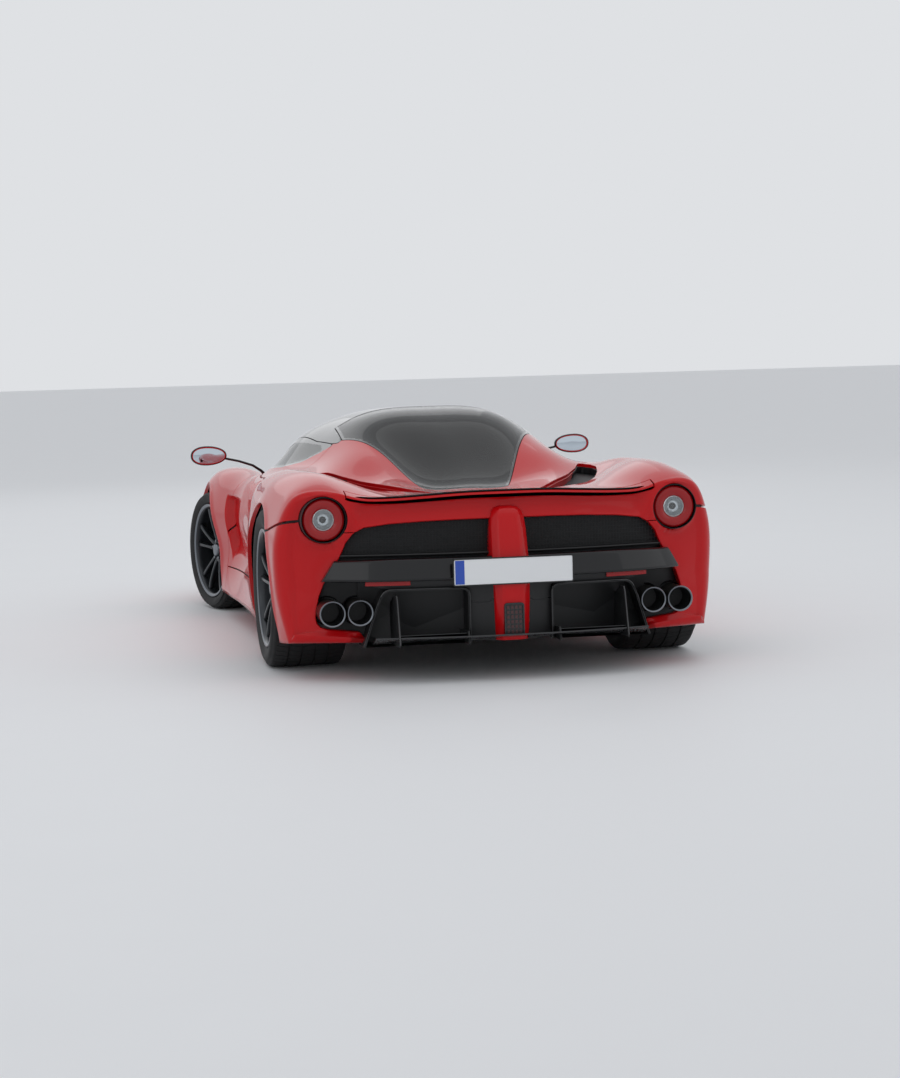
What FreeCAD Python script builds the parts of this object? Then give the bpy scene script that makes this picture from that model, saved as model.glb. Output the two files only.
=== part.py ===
# Mid-engined two-seat supercar, as an assembly of separate pieces.
# Millimetres. The car faces -Y, its left is +X, Z is up, and the origin is on the ground
# under the middle of its box. The front wheels rest turned to the left.
import FreeCAD, Part
import math
import os

V = FreeCAD.Vector
doc = FreeCAD.newDocument("Supercar")
sheet = doc.addObject("Spreadsheet::Sheet", "Sizes")

# Driving dimensions: alias, value, meaning
SIZES = (
    ("front_overhang", 1160, "nose to front axle"),
    ("wheelbase", 2650, "front axle to rear axle"),
    ("rear_overhang", 892, "rear axle to the diffuser's edge"),
    ("body_width", 1992, "across the rear wheel arches"),
    ("body_height", 1116, "ground to roof"),
    ("panel_wall", 25, "skin panel with its inner frame"),
    ("door_wall", 62, "door, from skin to trim"),
    ("glass_wall", 6, "all glazing"),
    ("panel_gap", 5, "shut line of a moving panel"),
    ("swing_gap", 10, "shut line at the far edge of the lid and of the engine cover"),
    ("seat_gap", 0.25, "between pieces that seat on each other"),
    ("front_tyre_radius", 320.8, "265/30 R19"),
    ("front_tyre_width", 265, ""),
    ("front_rim_radius", 241.3, "19 inch"),
    ("front_rim_width", 245, ""),
    ("front_wheel_face", 960, "outer face of the front tyres from the centre"),
    ("rear_tyre_radius", 357.5, "345/30 R20"),
    ("rear_tyre_width", 345, ""),
    ("rear_rim_radius", 254, "20 inch"),
    ("rear_rim_width", 325, ""),
    ("rear_wheel_face", 982, "outer face of the rear tyres from the centre"),
    ("rim_wall", 9, "barrel of a rim"),
    ("flange_height", 14, "rim edge above the bead seat"),
    ("flange_wall", 8, ""),
    ("spoke_depth", 30, "spoke along the axle"),
    ("spoke_inset", 12, "spoke face inside the rim's edge"),
    ("hub_radius", 78, ""),
    ("front_arch_radius", 378, "front wheel well"),
    ("rear_arch_radius", 388, "rear wheel well"),
    ("well_inner_wall", 530, "inboard wall of the wheel wells from the centre"),
    ("rear_well_inner_wall", 560, "the same at the rear"),
    ("liner_wall", 5, "wheel well liners"),
    ("disc_radius", 195, "carbon ceramic brake disc"),
    ("disc_bore", 104, "inner edge of its friction ring"),
    ("disc_thickness", 34, ""),
    ("disc_from_middle", 15, "middle of the disc outboard of the wheel's middle plane"),
    ("caliper_gap", 5, "caliper round the disc"),
    ("caliper_wall", 27, ""),
    ("ball_joint_height", 165, "ball joints above and below the wheel's centre"),
    ("ball_stud_radius", 9, ""),
    ("arm_radius", 12, "tube of a wishbone"),
    ("kingpin_from_wheel", 62, "steering axis inboard of the wheel's middle plane"),
    ("steer_rest", 14, "degrees that the front wheels are turned left at rest"),
    ("axle_radius", 28, "stub axle in the hub"),
    ("axle_gap", 0.3, "running clearance of the hub on its stub axle"),
    ("exhaust_radius", 56.5, "outer radius of a tail pipe"),
    ("exhaust_wall", 4, ""),
    ("exhaust_height", 312, "centre of the tail pipes"),
    ("tail_lamp_radius", 100, "opening of a tail lamp"),
    ("tail_lamp_from_centre", 780, ""),
    ("tail_lamp_height", 697, ""),
    ("plate_width", 520, "number plate"),
    ("plate_height", 112, ""),
    ("plate_wall", 4, ""),
    ("engine_width", 560, "engine and gearbox, as one mass"),
    ("engine_length", 760, ""),
    ("engine_height", 420, ""),
    ("steering_wheel_radius", 175, "centre of the rim's section"),
    ("grip_radius", 15, "section of the steering wheel's rim"),
)
for number, (alias, value, meaning) in enumerate(SIZES, 1):
    sheet.set("A%d" % number, alias)
    sheet.set("B%d" % number, str(value))
    sheet.set("C%d" % number, meaning)
    sheet.setAlias("B%d" % number, alias)
doc.recompute()


def size(alias):
    return float(sheet.get(alias))


# The section table is drawn for these reference sizes and follows the sheet
TABLE_FRONT_AXLE = -1191.0
TABLE_REAR_AXLE = 1459.0
TABLE_NOSE = -2351.0
TABLE_TAIL = 2351.0
TABLE_WIDTH = 1992.0
TABLE_HEIGHT = 1116.0

body_length = size("front_overhang") + size("wheelbase") + size("rear_overhang")
front_axle = size("front_overhang") - body_length / 2
rear_axle = front_axle + size("wheelbase")


def place_x(x):
    return x * size("body_width") / TABLE_WIDTH


def place_y(y):
    """Ahead of the front axle, between the axles and behind the rear axle scale apart."""
    if y < TABLE_FRONT_AXLE:
        share = (y - TABLE_FRONT_AXLE) / (TABLE_FRONT_AXLE - TABLE_NOSE)
        return front_axle + share * size("front_overhang")
    if y > TABLE_REAR_AXLE:
        share = (y - TABLE_REAR_AXLE) / (TABLE_TAIL - TABLE_REAR_AXLE)
        return rear_axle + share * size("rear_overhang")
    share = (y - TABLE_FRONT_AXLE) / (TABLE_REAR_AXLE - TABLE_FRONT_AXLE)
    return front_axle + share * size("wheelbase")


def place_z(z):
    return z * size("body_height") / TABLE_HEIGHT


def at(x, y, z):
    return V(place_x(x), place_y(y), place_z(z))


# Sections of the body's left half. Columns: station y, top centre z, then x and z of
# roof shoulder, window line, belt valley, inner crown, crown, shoulder, side, waist, sill
SECTIONS = (
    (-2351, 380, 70, 376, 100, 368, 125, 358, 140, 345, 150, 330, 160, 300, 165, 270, 165, 215, 150, 160),
    (-2200, 450, 200, 440, 300, 425, 380, 412, 440, 402, 490, 388, 540, 365, 570, 320, 575, 250, 560, 150),
    (-2000, 520, 250, 510, 380, 492, 480, 480, 570, 488, 660, 495, 740, 465, 800, 390, 815, 290, 790, 140),
    (-1700, 600, 250, 590, 380, 575, 490, 570, 590, 600, 700, 655, 812, 640, 910, 520, 930, 340, 900, 135),
    (-1450, 655, 260, 648, 390, 632, 500, 628, 605, 680, 740, 742, 862, 712, 952, 555, 960, 330, 930, 132),
    (-1190, 705, 270, 700, 400, 684, 500, 678, 615, 714, 750, 768, 880, 750, 968, 600, 965, 330, 940, 130),
    (-900, 775, 300, 765, 450, 735, 560, 708, 650, 735, 755, 772, 868, 742, 948, 590, 935, 330, 925, 130),
    (-550, 960, 330, 925, 540, 850, 660, 770, 715, 756, 775, 748, 840, 695, 885, 560, 865, 330, 915, 130),
    (-150, 1085, 330, 1064, 555, 975, 705, 822, 750, 790, 795, 765, 840, 700, 875, 565, 855, 330, 905, 130),
    (250, 1116, 330, 1086, 530, 980, 700, 830, 760, 808, 815, 785, 860, 720, 895, 580, 875, 340, 905, 130),
    (650, 1078, 310, 1048, 462, 970, 655, 842, 745, 828, 830, 820, 905, 755, 945, 610, 930, 360, 920, 130),
    (1050, 870, 220, 862, 410, 900, 620, 838, 705, 838, 790, 868, 920, 812, 978, 650, 985, 380, 960, 130),
    (1300, 768, 170, 766, 395, 822, 600, 806, 690, 836, 785, 880, 922, 824, 988, 655, 995, 385, 970, 132),
    (1460, 765, 170, 764, 370, 800, 570, 796, 660, 838, 780, 884, 922, 830, 992, 660, 996, 395, 975, 135),
    (1850, 780, 190, 780, 340, 784, 500, 796, 640, 838, 765, 872, 895, 826, 975, 660, 985, 400, 965, 150),
    (2080, 790, 200, 790, 350, 786, 500, 785, 620, 790, 730, 812, 850, 785, 920, 650, 935, 400, 915, 158),
    (2200, 797, 200, 795, 350, 786, 500, 775, 600, 765, 690, 752, 760, 730, 820, 640, 845, 400, 830, 160),
)
POINTS_PER_SECTION = 9


def section_points(row, inset_top=0.0, inset_side=0.0):
    """Points of one half section, moved inwards along the outline's own normal.

    The top inset holds down to the belt valley, the side inset from the crown to the sill.
    """
    outline = [(0.0, row[1])]
    for k in range(POINTS_PER_SECTION):
        outline.append((row[2 + 2 * k], row[3 + 2 * k]))
    outline = [(place_x(x), place_z(z)) for x, z in outline]
    moved = []
    last = len(outline) - 1
    for k, (x, z) in enumerate(outline):
        before = outline[max(k - 1, 0)]
        after = outline[min(k + 1, last)]
        run_x, run_z = after[0] - before[0], after[1] - before[1]
        if k == 0:
            run_x, run_z = 1.0, 0.0
        length = math.hypot(run_x, run_z)
        share = min(max((k - 3) / 3.0, 0.0), 1.0)
        inset = inset_top + (inset_side - inset_top) * share
        x_in = x + inset * run_z / length
        z_in = z - inset * run_x / length
        if k == last:
            x_in, z_in = x - inset, z + inset_top
        moved.append((x_in, z_in))
    return moved


def bow(first, middle, last):
    """Flat curve of one bend from the first point to the last, through the middle one."""
    curve = Part.BezierCurve()
    curve.setPoles([first, middle * 2 - (first + last) * 0.5, last])
    return curve.toShape()


def through(first, middle, last):
    """A bow through three points, or a line where they are nearly straight."""
    turn = (middle - first).cross(last - middle).Length
    if turn < 1e-3 * (last - first).Length ** 2:
        return Part.makeLine(first, last)
    return bow(first, middle, last)


def crown_curve(edge_point, top):
    """Half of the arc over the centre line, or a line where the top is flat."""
    drop = top.z - edge_point.z
    if drop < 1.0:
        return Part.makeLine(edge_point, top)
    radius = (edge_point.x ** 2 + drop ** 2) / (2 * drop)
    half = math.asin(edge_point.x / radius) / 2
    middle = V(radius * math.sin(half), top.y, top.z - radius * (1 - math.cos(half)))
    return bow(edge_point, middle, top)


def section_wire(row, inset_top, inset_side, end_shift, overlap):
    """Closed outline of the left half at one station, past the centre plane by the overlap."""
    y = place_y(row[0]) + end_shift
    points = [V(x, y, z) for x, z in section_points(row, inset_top, inset_side)]
    top, roof, window, valley, inner, crown, shoulder, side_point, waist, sill = points
    edges = [
        through(sill, waist, side_point),
        through(side_point, shoulder, crown),
        through(crown, inner, valley),
        through(valley, window, roof),
        crown_curve(roof, top),
    ]
    corners = [top, V(-overlap, y, top.z), V(-overlap, y, sill.z), sill]
    if overlap == 0:
        corners = [top, V(0, y, sill.z), sill]
    return Part.Wire(edges + Part.makePolygon(corners).Edges)


OVERLAP = 30.0


def body_form(inset_top=0.0, inset_side=None):
    """The left half of the outer form, or the same form moved inwards and past the centre."""
    if inset_side is None:
        inset_side = inset_top
    wires = []
    last = len(SECTIONS) - 1
    for number, row in enumerate(SECTIONS):
        shift = 0.0
        if inset_top > 0 and number == 0:
            shift = max(2.4 * inset_top, 50)
        if inset_top > 0 and number == 1:
            shift = max(inset_top, 20)
        if inset_top > 0 and number == last:
            shift = OVERLAP
        overlap = OVERLAP if inset_top > 0 else 0.0
        wires.append(section_wire(row, inset_top, inset_side, shift, overlap))
    return Part.makeLoft(wires, True, False)


def polygon(points):
    return Part.Face(Part.makePolygon(list(points) + [points[0]]))


def plan_prism(points, low=-60, high=1400):
    """Upright prism over a plan outline of x, y pairs."""
    face = polygon([at(x, y, low) for x, y in points])
    return face.extrude(V(0, 0, place_z(high) - place_z(low)))


def side_prism(points, low=0, high=1300):
    """Prism across the car over a side outline of y, z pairs."""
    face = polygon([at(low, y, z) for y, z in points])
    return face.extrude(V(place_x(high) - place_x(low), 0, 0))


def rear_prism(points, low, high):
    """Prism along the car over an outline of x, z pairs."""
    face = polygon([at(x, low, z) for x, z in points])
    return face.extrude(V(0, place_y(high) - place_y(low), 0))


def block(x, y, z):
    """Box between low and high pairs, in real positions."""
    return Part.makeBox(x[1] - x[0], y[1] - y[0], z[1] - z[0], V(x[0], y[0], z[0]))


def mirrored(shape):
    return shape.mirror(V(0, 0, 0), V(1, 0, 0))


def rod(start, end, radius):
    return Part.makeCylinder(radius, (end - start).Length, start, end - start)


def offset_outline(points, distance):
    """Closed outline moved outwards by a distance, as the points of the new outline."""
    wire = Part.makePolygon([V(a, b, 0) for a, b in points] + [V(points[0][0], points[0][1], 0)])
    moved = wire.makeOffset2D(distance, 2)
    return [(vertex.X, vertex.Y) for vertex in moved.OrderedVertexes]


nodes = {}


def add_piece(name, shape):
    """A sub-part whose shape is worked out here from the sheet's values."""
    piece = doc.addObject("Part::Feature", name)
    piece.Label = name
    shape = shape.removeSplitter()
    piece.Shape = shape
    nodes[name] = piece
    return piece


# Tail: the rear face is an arc in plan
TAIL_CENTRE = 2190.0
TAIL_SIDE = (930.0, 2007.0)


def tail_limit(inset):
    """Everything ahead of the tail's arc, as a tall prism."""
    ends = (place_x(TAIL_SIDE[0]), place_y(TAIL_SIDE[1]) - inset)
    centre = place_y(TAIL_CENTRE) - inset
    rise = centre - ends[1]
    radius = (ends[0] ** 2 + rise ** 2) / (2 * rise)
    wide = place_x(1150)
    drop = radius - math.sqrt(radius ** 2 - wide ** 2)
    front = place_y(TABLE_NOSE) - 100
    low = -50
    start = V(-wide, centre - drop, low)
    end = V(wide, centre - drop, low)
    arc = Part.Arc(start, V(0, centre, low), end).toShape()
    others = Part.makePolygon([end, V(wide, front, low), V(-wide, front, low), start])
    face = Part.Face(Part.Wire([arc] + others.Edges))
    return face.extrude(V(0, 0, 1500))


wall = size("panel_wall")
gap = size("panel_gap")
seat = size("seat_gap")
run_gap = size("axle_gap")

outer = body_form().common(tail_limit(0))
inner = body_form(wall).common(tail_limit(wall))
pane = body_form(size("glass_wall"))
TRIM_TOP = wall + 6
trim = body_form(TRIM_TOP, size("door_wall"))
door_seal = body_form(TRIM_TOP + seat, size("door_wall") + seat)
inside = body_form(wall + seat).common(tail_limit(wall + seat))
skin = outer.cut(inner)


def whole(left):
    """A piece that crosses the centre plane, from its left half."""
    return left.fuse(mirrored(left)).removeSplitter()


def pair(left):
    """Two like pieces, one each side."""
    return Part.makeCompound([left, mirrored(left)])


def full_plan(half):
    return list(half) + [(-x, y) for x, y in reversed(half) if x > 0]


# Outlines in the table's sizes: side outlines are y, z and plan outlines are x, y
DOOR_SIDE = ((-705, 270), (-668, 420), (-610, 640), (-588, 780), (-588, 1300), (548, 1300), (560, 960),
             (612, 850), (745, 700), (775, 560), (775, 270))
DOOR_TOP = ((700, -588), (640, -430), (604, -300), (576, -120), (560, 100), (545, 300), (508, 530), (500, 660))
WINDOW = ((-400, 815), (-150, 822), (150, 842), (380, 875), (510, 925), (410, 946), (150, 948), (-100, 938),
          (-280, 885))
WINDSCREEN = ((0, -850), (300, -820), (470, -740), (535, -620), (530, -330), (512, -60), (340, -5), (0, 10))
COVER = ((0, 312), (455, 312), (466, 605), (330, 960), (196, 1326), (0, 1326))
COVER_GLASS = ((0, 348), (425, 348), (436, 600), (300, 945), (160, 1292), (0, 1292))
LID = ((0, -1930), (270, -1930), (330, -1700), (440, -1200), (455, -965), (0, -930))
COWL_FRONT = -930.0
DECK_SPLIT = 390.0
BUMPER_LINE = -1985.0
TAIL_LINE = 1900.0
SILL_TOP = 270.0
FLOOR_TOP = 172.0
FLOOR_HALF = 860.0
DOOR_FRONT = -705.0
BULKHEAD = (735.0, 765.0)
FRONT_BULKHEAD = (-800.0, -770.0)
NOSE_AHEAD = TABLE_NOSE - 50
TAIL_BEHIND = TABLE_TAIL + 50
WIDE = 1300.0


def region(y_low, y_high, z_low=-60, z_high=1400, x_low=0, x_high=WIDE):
    low, high = at(x_low, y_low, z_low), at(x_high, y_high, z_high)
    return block((low.x, high.x), (low.y, high.y), (low.z, high.z))


def wheel_well(axle, radius, height, inner_wall):
    """Space of one left wheel, from the inboard wall out through the side."""
    space = Part.makeCylinder(radius, 700, V(inner_wall, axle, height), V(1, 0, 0))
    below = block((inner_wall, inner_wall + 700), (axle - radius, axle + radius), (-100, height))
    return space.fuse(below)


def swing_room(half, low):
    """Hole for a lid, wider at its far edge, which swings past the edge of the hole."""
    far_x, far_y = half[-2] if half[-1][1] == half[-2][1] else half[1]
    near_y = far_y + math.copysign(40, -far_y)
    reach = place_y(far_y) + math.copysign(size("swing_gap"), far_y)
    hole = plan_prism(offset_outline(full_plan(half), gap), low, 1400)
    edges = sorted((place_y(near_y), reach))
    far_half = place_x(far_x) + gap
    return hole.fuse(block((-far_half, far_half), edges, (place_z(low), place_z(1400))))


lid_prism = plan_prism(full_plan(LID), 300, 1400)
lid_hole = swing_room(LID, 300)
cover_prism = plan_prism(full_plan(COVER), 600, 1400)
cover_hole = swing_room(COVER, 600)
glass_prism = plan_prism(full_plan(COVER_GLASS), 600, 1400)
screen_prism = plan_prism(full_plan(WINDSCREEN), 600, 1400)
window_prism = side_prism(WINDOW, 200, 1200)
beyond_top = [(500, 900), (1200, 900), (1200, -900), (700, -900)]
door_plan = plan_prism(list(DOOR_TOP) + beyond_top, 0, 1400)
door_plan_hole = plan_prism(offset_outline(list(DOOR_TOP) + beyond_top, gap), 0, 1400)
door_prism = side_prism(DOOR_SIDE, 300, 1200).common(door_plan)
door_hole = side_prism(offset_outline(DOOR_SIDE, gap), 290, 1200).common(door_plan_hole)
AXLES = (
    (front_axle, size("front_arch_radius"), size("front_tyre_radius"), size("well_inner_wall")),
    (rear_axle, size("rear_arch_radius"), size("rear_tyre_radius"), size("rear_well_inner_wall")),
)
wells = [wheel_well(*axle) for axle in AXLES]

# Skin without the wheel wells, doors, lid, cover and windscreen
fixed = skin.cut(wells + [door_hole, lid_hole, cover_hole, screen_prism])

roof_half = [(0, COWL_FRONT), (470, -900), (560, -800), (700, -588)] + list(DOOR_TOP[1:]) + [(480, 760), (0, 760)]
roof_plan = plan_prism(full_plan(roof_half), 640, 1400)
floor_region = region(BUMPER_LINE, TAIL_LINE, -60, FLOOR_TOP, 0, FLOOR_HALF)
skirt_region = region(DOOR_FRONT, 775, -60, SILL_TOP - 5)
deck_region = region(1337, TAIL_LINE, 600, 1400, 0, DECK_SPLIT)
floor_skin = fixed.common(floor_region)
roof_part = fixed.common(roof_plan)
front_part = fixed.common(region(BUMPER_LINE, 0)).cut([roof_plan, floor_region, skirt_region])
rear_part = fixed.common(region(0, TAIL_LINE)).cut([roof_plan, floor_region, skirt_region, deck_region])
nose_part = fixed.common(region(NOSE_AHEAD, BUMPER_LINE))
tail_part = fixed.common(region(TAIL_LINE, TAIL_BEHIND))
deck_part = fixed.common(deck_region).cut(roof_plan)
skirt_part = fixed.common(skirt_region).cut(floor_region)

# Tub: floor, sill beams, tunnel, two bulkheads and jacking pads
TUNNEL = ((-30, 140), (110, 140), (85, 360), (-30, 360))
SILL_BEAM = ((700, 140), (840, 140), (840, SILL_TOP - 30), (785, SILL_TOP - 10), (770, SILL_TOP + 50),
             (720, SILL_TOP + 50), (700, 200))
JACK_POINTS = ((700, -640), (700, 690))
tunnel = rear_prism(TUNNEL, FRONT_BULKHEAD[1] - 10, BULKHEAD[0] + 10).common(region(NOSE_AHEAD, TAIL_BEHIND))
sill_beam = rear_prism(SILL_BEAM, FRONT_BULKHEAD[1] - 10, BULKHEAD[0] + 10)
front_wall = inside.common(region(*FRONT_BULKHEAD))
rear_wall = inside.common(region(*BULKHEAD)).cut(door_hole.cut(door_seal))
footing = region(*FRONT_BULKHEAD, 140, 200, 0, 520).fuse(region(*BULKHEAD, 140, 200, 0, 520))
pads = [Part.makeCylinder(35, 20, at(x, y, 124), V(0, 0, 1)) for x, y in JACK_POINTS]
tub = floor_skin.fuse([tunnel, sill_beam, front_wall, rear_wall, footing] + pads)
add_piece("tub", whole(tub))
add_piece("side_skirts", pair(skirt_part))

# Nose: bumper with a middle and two side intakes, lamps, splitter
MIDDLE_INTAKE = ((0, 190), (150, 190), (140, 290), (0, 290))
SIDE_INTAKE = ((230, 190), (640, 190), (700, 300), (560, 335), (250, 300))
HEADLAMP = ((560, -2060), (700, -1990), (790, -1700), (770, -1640), (700, -1720), (560, -1960))
middle_cut = rear_prism(MIDDLE_INTAKE, NOSE_AHEAD, -2100)
side_cut = rear_prism(SIDE_INTAKE, NOSE_AHEAD, -1960)
lamp_prism = plan_prism(HEADLAMP, 380, 1400)
add_piece("front_bumper", whole(nose_part.cut([middle_cut, side_cut, lamp_prism])))
add_piece("headlamps", pair(fixed.common(lamp_prism)))
add_piece("front_fenders", pair(front_part.cut(lamp_prism)))
SPLITTER = ((0, -2338), (170, -2338), (620, -2230), (760, -2060), (700, -1990), (0, -1990))
SPLITTER_SIDE = ((-2400, 146), (-1980, 124), (-1980, 150), (-2400, 160))
splitter = plan_prism(SPLITTER, 100, 200).common(side_prism(SPLITTER_SIDE, 0, 900))
add_piece("front_splitter", whole(splitter.cut(outer)))

# Roof frame with the pillars and cowl, and the windscreen in it
add_piece("roof_frame", whole(roof_part))
add_piece("windscreen", whole(outer.common(screen_prism).cut(pane)))

# Rear wings with their shoulder slots and side scoops
SLOT = ((600, 1190), (655, 1215), (440, 1690), (400, 1690))
SIDE_SCOOP = ((800, 400), (960, 400), (985, 560), (930, 690), (815, 660))
slot_cut = plan_prism(SLOT, 700, 1400)
scoop_cut = side_prism(SIDE_SCOOP, 800, 1100)
add_piece("quarters", pair(rear_part.cut([slot_cut, scoop_cut])))

# Tail: upper panel with the deck, lower bumper, both round the lamps and the open middle
BAND_LOW = 640.0
GRILLE = ((0, 667), (640, 667), (700, 600), (735, 534), (0, 534))
REAR_OPENING = ((0, 528), (850, 528), (842, 330), (790, 200), (630, 120), (0, 120))
grille_cut = rear_prism(GRILLE, 1980, TAIL_BEHIND)
OPENING_START = 1960.0
opening_cut = rear_prism(REAR_OPENING, OPENING_START, TAIL_BEHIND)
lamp_centre = V(size("tail_lamp_from_centre"), place_y(1900), size("tail_lamp_height"))
lamp_bore = Part.makeCylinder(size("tail_lamp_radius"), 400, lamp_centre, V(0, 1, 0))
SPOILER_RISE = 15
ROD_START = (250.0, 2085.0, 752.0)
ROD_RADIUS = 7.0
ROD_LENGTH = 110.0
slide_way = V(0, math.cos(math.radians(SPOILER_RISE)), math.sin(math.radians(SPOILER_RISE)))
rod_start = at(*ROD_START)
slide_rod = rod(rod_start, rod_start + slide_way * ROD_LENGTH, ROD_RADIUS)
rod_way = rod(rod_start - slide_way * 80, rod_start + slide_way * 300, ROD_RADIUS + run_gap)
BLADE_PLAN = ((-20, 2100), (0, 2100), (400, 2086), (680, 2032), (680, 2131), (380, 2210), (0, 2238), (-20, 2238))
BLADE_FACE = ((-20, 785), (0, 785), (380, 771), (680, 739), (680, 751), (380, 783), (0, 797), (-20, 797))
blade_plan = plan_prism(BLADE_PLAN, 600, 1400)
blade = rear_prism(BLADE_FACE, 2000, 2300).common(blade_plan)
BLADE_ROOM = ((-20, 779), (0, 779), (380, 765), (687, 732), (687, 1000), (-20, 1000))
blade_room = rear_prism(BLADE_ROOM, 2000, 2300)
blade_room = blade_room.common(plan_prism(offset_outline(BLADE_PLAN, gap), 600, 1400))
tail_top = tail_part.common(region(TAIL_LINE, TAIL_BEHIND, BAND_LOW)).fuse(deck_part)
tail_top = tail_top.cut([grille_cut, lamp_bore, blade_room, rod_way])
tail_low = tail_part.common(region(TAIL_LINE, TAIL_BEHIND, -60, BAND_LOW))
tail_low = tail_low.cut([grille_cut, opening_cut, lamp_bore])
add_piece("tail_panel", whole(tail_top))
add_piece("rear_bumper", whole(tail_low))
half_space = block((0, 1300), (-3000, 3000), (-100, 1500))
add_piece("rear_spoiler", whole(blade.common(half_space).fuse(slide_rod)))

# Tail lamps: a drum with a raised ring in each bore
drum_base = V(size("tail_lamp_from_centre"), place_y(1996), size("tail_lamp_height"))
drum = Part.makeCylinder(size("tail_lamp_radius") - seat, 62, drum_base, V(0, 1, 0))
lens_ring = Part.makeTorus(70, 15, drum_base + V(0, 62, 0), V(0, 1, 0))
add_piece("tail_lamps", pair(drum.fuse(lens_ring)))

# Centre spine with the fog lamp's housing, bar with bevelled ends, plate
SPINE_FACE = ((0, 633), (80, 633), (70, 165), (0, 165))
SPINE_PLAN = ((0, 2120), (82, 2120), (82, 2268), (50, 2292), (0, 2292))
spine = rear_prism(SPINE_FACE, 2000, 2400).common(plan_prism(SPINE_PLAN, 100, 900))
fog_box = block((0, 48), (place_y(2280), place_y(2330)), (place_z(181), place_z(329)))
spine = spine.fuse(fog_box).cut(tail_low)
add_piece("centre_spine", whole(spine))
BAR_FACE = ((0, 533), (750, 533), (800, 480), (640, 447), (560, 400), (0, 400))
BAR_PLAN = ((0, 2262), (500, 2215), (800, 2110), (835, 2040), (770, 2008), (480, 2130), (0, 2175))
bar = rear_prism(BAR_FACE, 1950, 2330).common(plan_prism(BAR_PLAN, 300, 700))
bar = bar.cut([spine, outer])
add_piece("rear_bar", pair(bar))
number_plate = doc.addObject("Part::Box", "number_plate")
number_plate.Label = "number_plate"
number_plate.setExpression("Length", "Sizes.plate_width")
number_plate.setExpression("Width", "Sizes.plate_wall")
number_plate.setExpression("Height", "Sizes.plate_height")
number_plate.Placement.Base = V(-size("plate_width") / 2, place_y(2292) + seat, place_z(412))
nodes["number_plate"] = number_plate

# Diffuser: a rising floor with upright strakes and a back panel
DIFFUSER_FLOOR = ((1905, 152), (2351, 194), (2351, 206), (1905, 171))
STRAKE = ((1960, 150), (2320, 156), (2320, 371), (2180, 390), (1960, 200))
STRAKES = (195, 500)
STRAKE_WALL = 10.0
diffuser = side_prism(DIFFUSER_FLOOR, 0, 590)
for x in STRAKES:
    diffuser = diffuser.fuse(side_prism(STRAKE, x, x + STRAKE_WALL))
diffuser = diffuser.fuse(rear_prism(((0, 396), (640, 396), (625, 165), (0, 165)), 2150, 2162))
diffuser = diffuser.cut([spine, outer.cut(opening_cut), bar, region(1800, OPENING_START)])
add_piece("diffuser", whole(diffuser))

# Tail pipes in two pairs, each pair on its hanger plate
PIPES = (649, 764)
PIPE_FRONT, PIPE_END = 2000.0, 2180.0
hanger = block((place_x(706) - 125, place_x(706) + 125), (place_y(PIPE_FRONT) - 6, place_y(PIPE_FRONT)),
               (size("exhaust_height") - 80, size("exhaust_height") + 80))
pipes = hanger
for x in PIPES:
    start = V(place_x(x), place_y(PIPE_FRONT) - 6, size("exhaust_height"))
    end = V(place_x(x), place_y(PIPE_END), size("exhaust_height"))
    pipes = pipes.fuse(rod(start, end, size("exhaust_radius")))
for x in PIPES:
    start = V(place_x(x), place_y(PIPE_FRONT) - 20, size("exhaust_height"))
    end = V(place_x(x), place_y(PIPE_END) + 20, size("exhaust_height"))
    pipes = pipes.cut(rod(start, end, size("exhaust_radius") - size("exhaust_wall")))
pipes = pipes.cut([diffuser, outer.cut(opening_cut)])
add_piece("exhaust_tips", pair(pipes))

# Grilles: behind the rear opening and in the side scoops
mesh_sheet = tail_limit(6).cut(tail_limit(12)).common(rear_prism(GRILLE, 1960, 2400)).cut(spine)
scoop_mesh = side_prism(SIDE_SCOOP, 800, 1100).common(skin).common(body_form(wall - 10))
add_piece("grilles", Part.makeCompound([mesh_sheet, mirrored(mesh_sheet), scoop_mesh, mirrored(scoop_mesh)]))

# Wheel well liners, each with an opening for its arms and shaft
ARM_OPENING = 215.0
liners = []
for axle, radius, height, inner_wall in AXLES:
    liner = wheel_well(axle, radius + size("liner_wall"), height, inner_wall - size("liner_wall"))
    liner = liner.common(inside).cut(wheel_well(axle, radius, height, inner_wall))
    opening = Part.makeCylinder(ARM_OPENING, 100, V(inner_wall - 50, axle, height), V(1, 0, 0))
    liner = liner.cut([opening, region(NOSE_AHEAD, TAIL_BEHIND, -200, FLOOR_TOP + 4)])
    liners += [liner, mirrored(liner)]
add_piece("arch_liners", Part.makeCompound(liners))

# Luggage tray under the lid
TRAY_HALF = 299.75
TRAY_WALL = 5.0
tray = region(-1750, -1010, 300, 1400, 0, TRAY_HALF).common(inside)
tray = tray.cut(region(-1745, -1015, 305, 1400, 0, TRAY_HALF - TRAY_WALL))
add_piece("front_tray", whole(tray))

# Suspension: subframes with a pair of two-tube wishbones at each wheel
def wheel_middle(end):
    """Distance of a wheel's middle plane from the centre plane."""
    return size(end + "_wheel_face") - size(end + "_tyre_width") / 2


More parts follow.
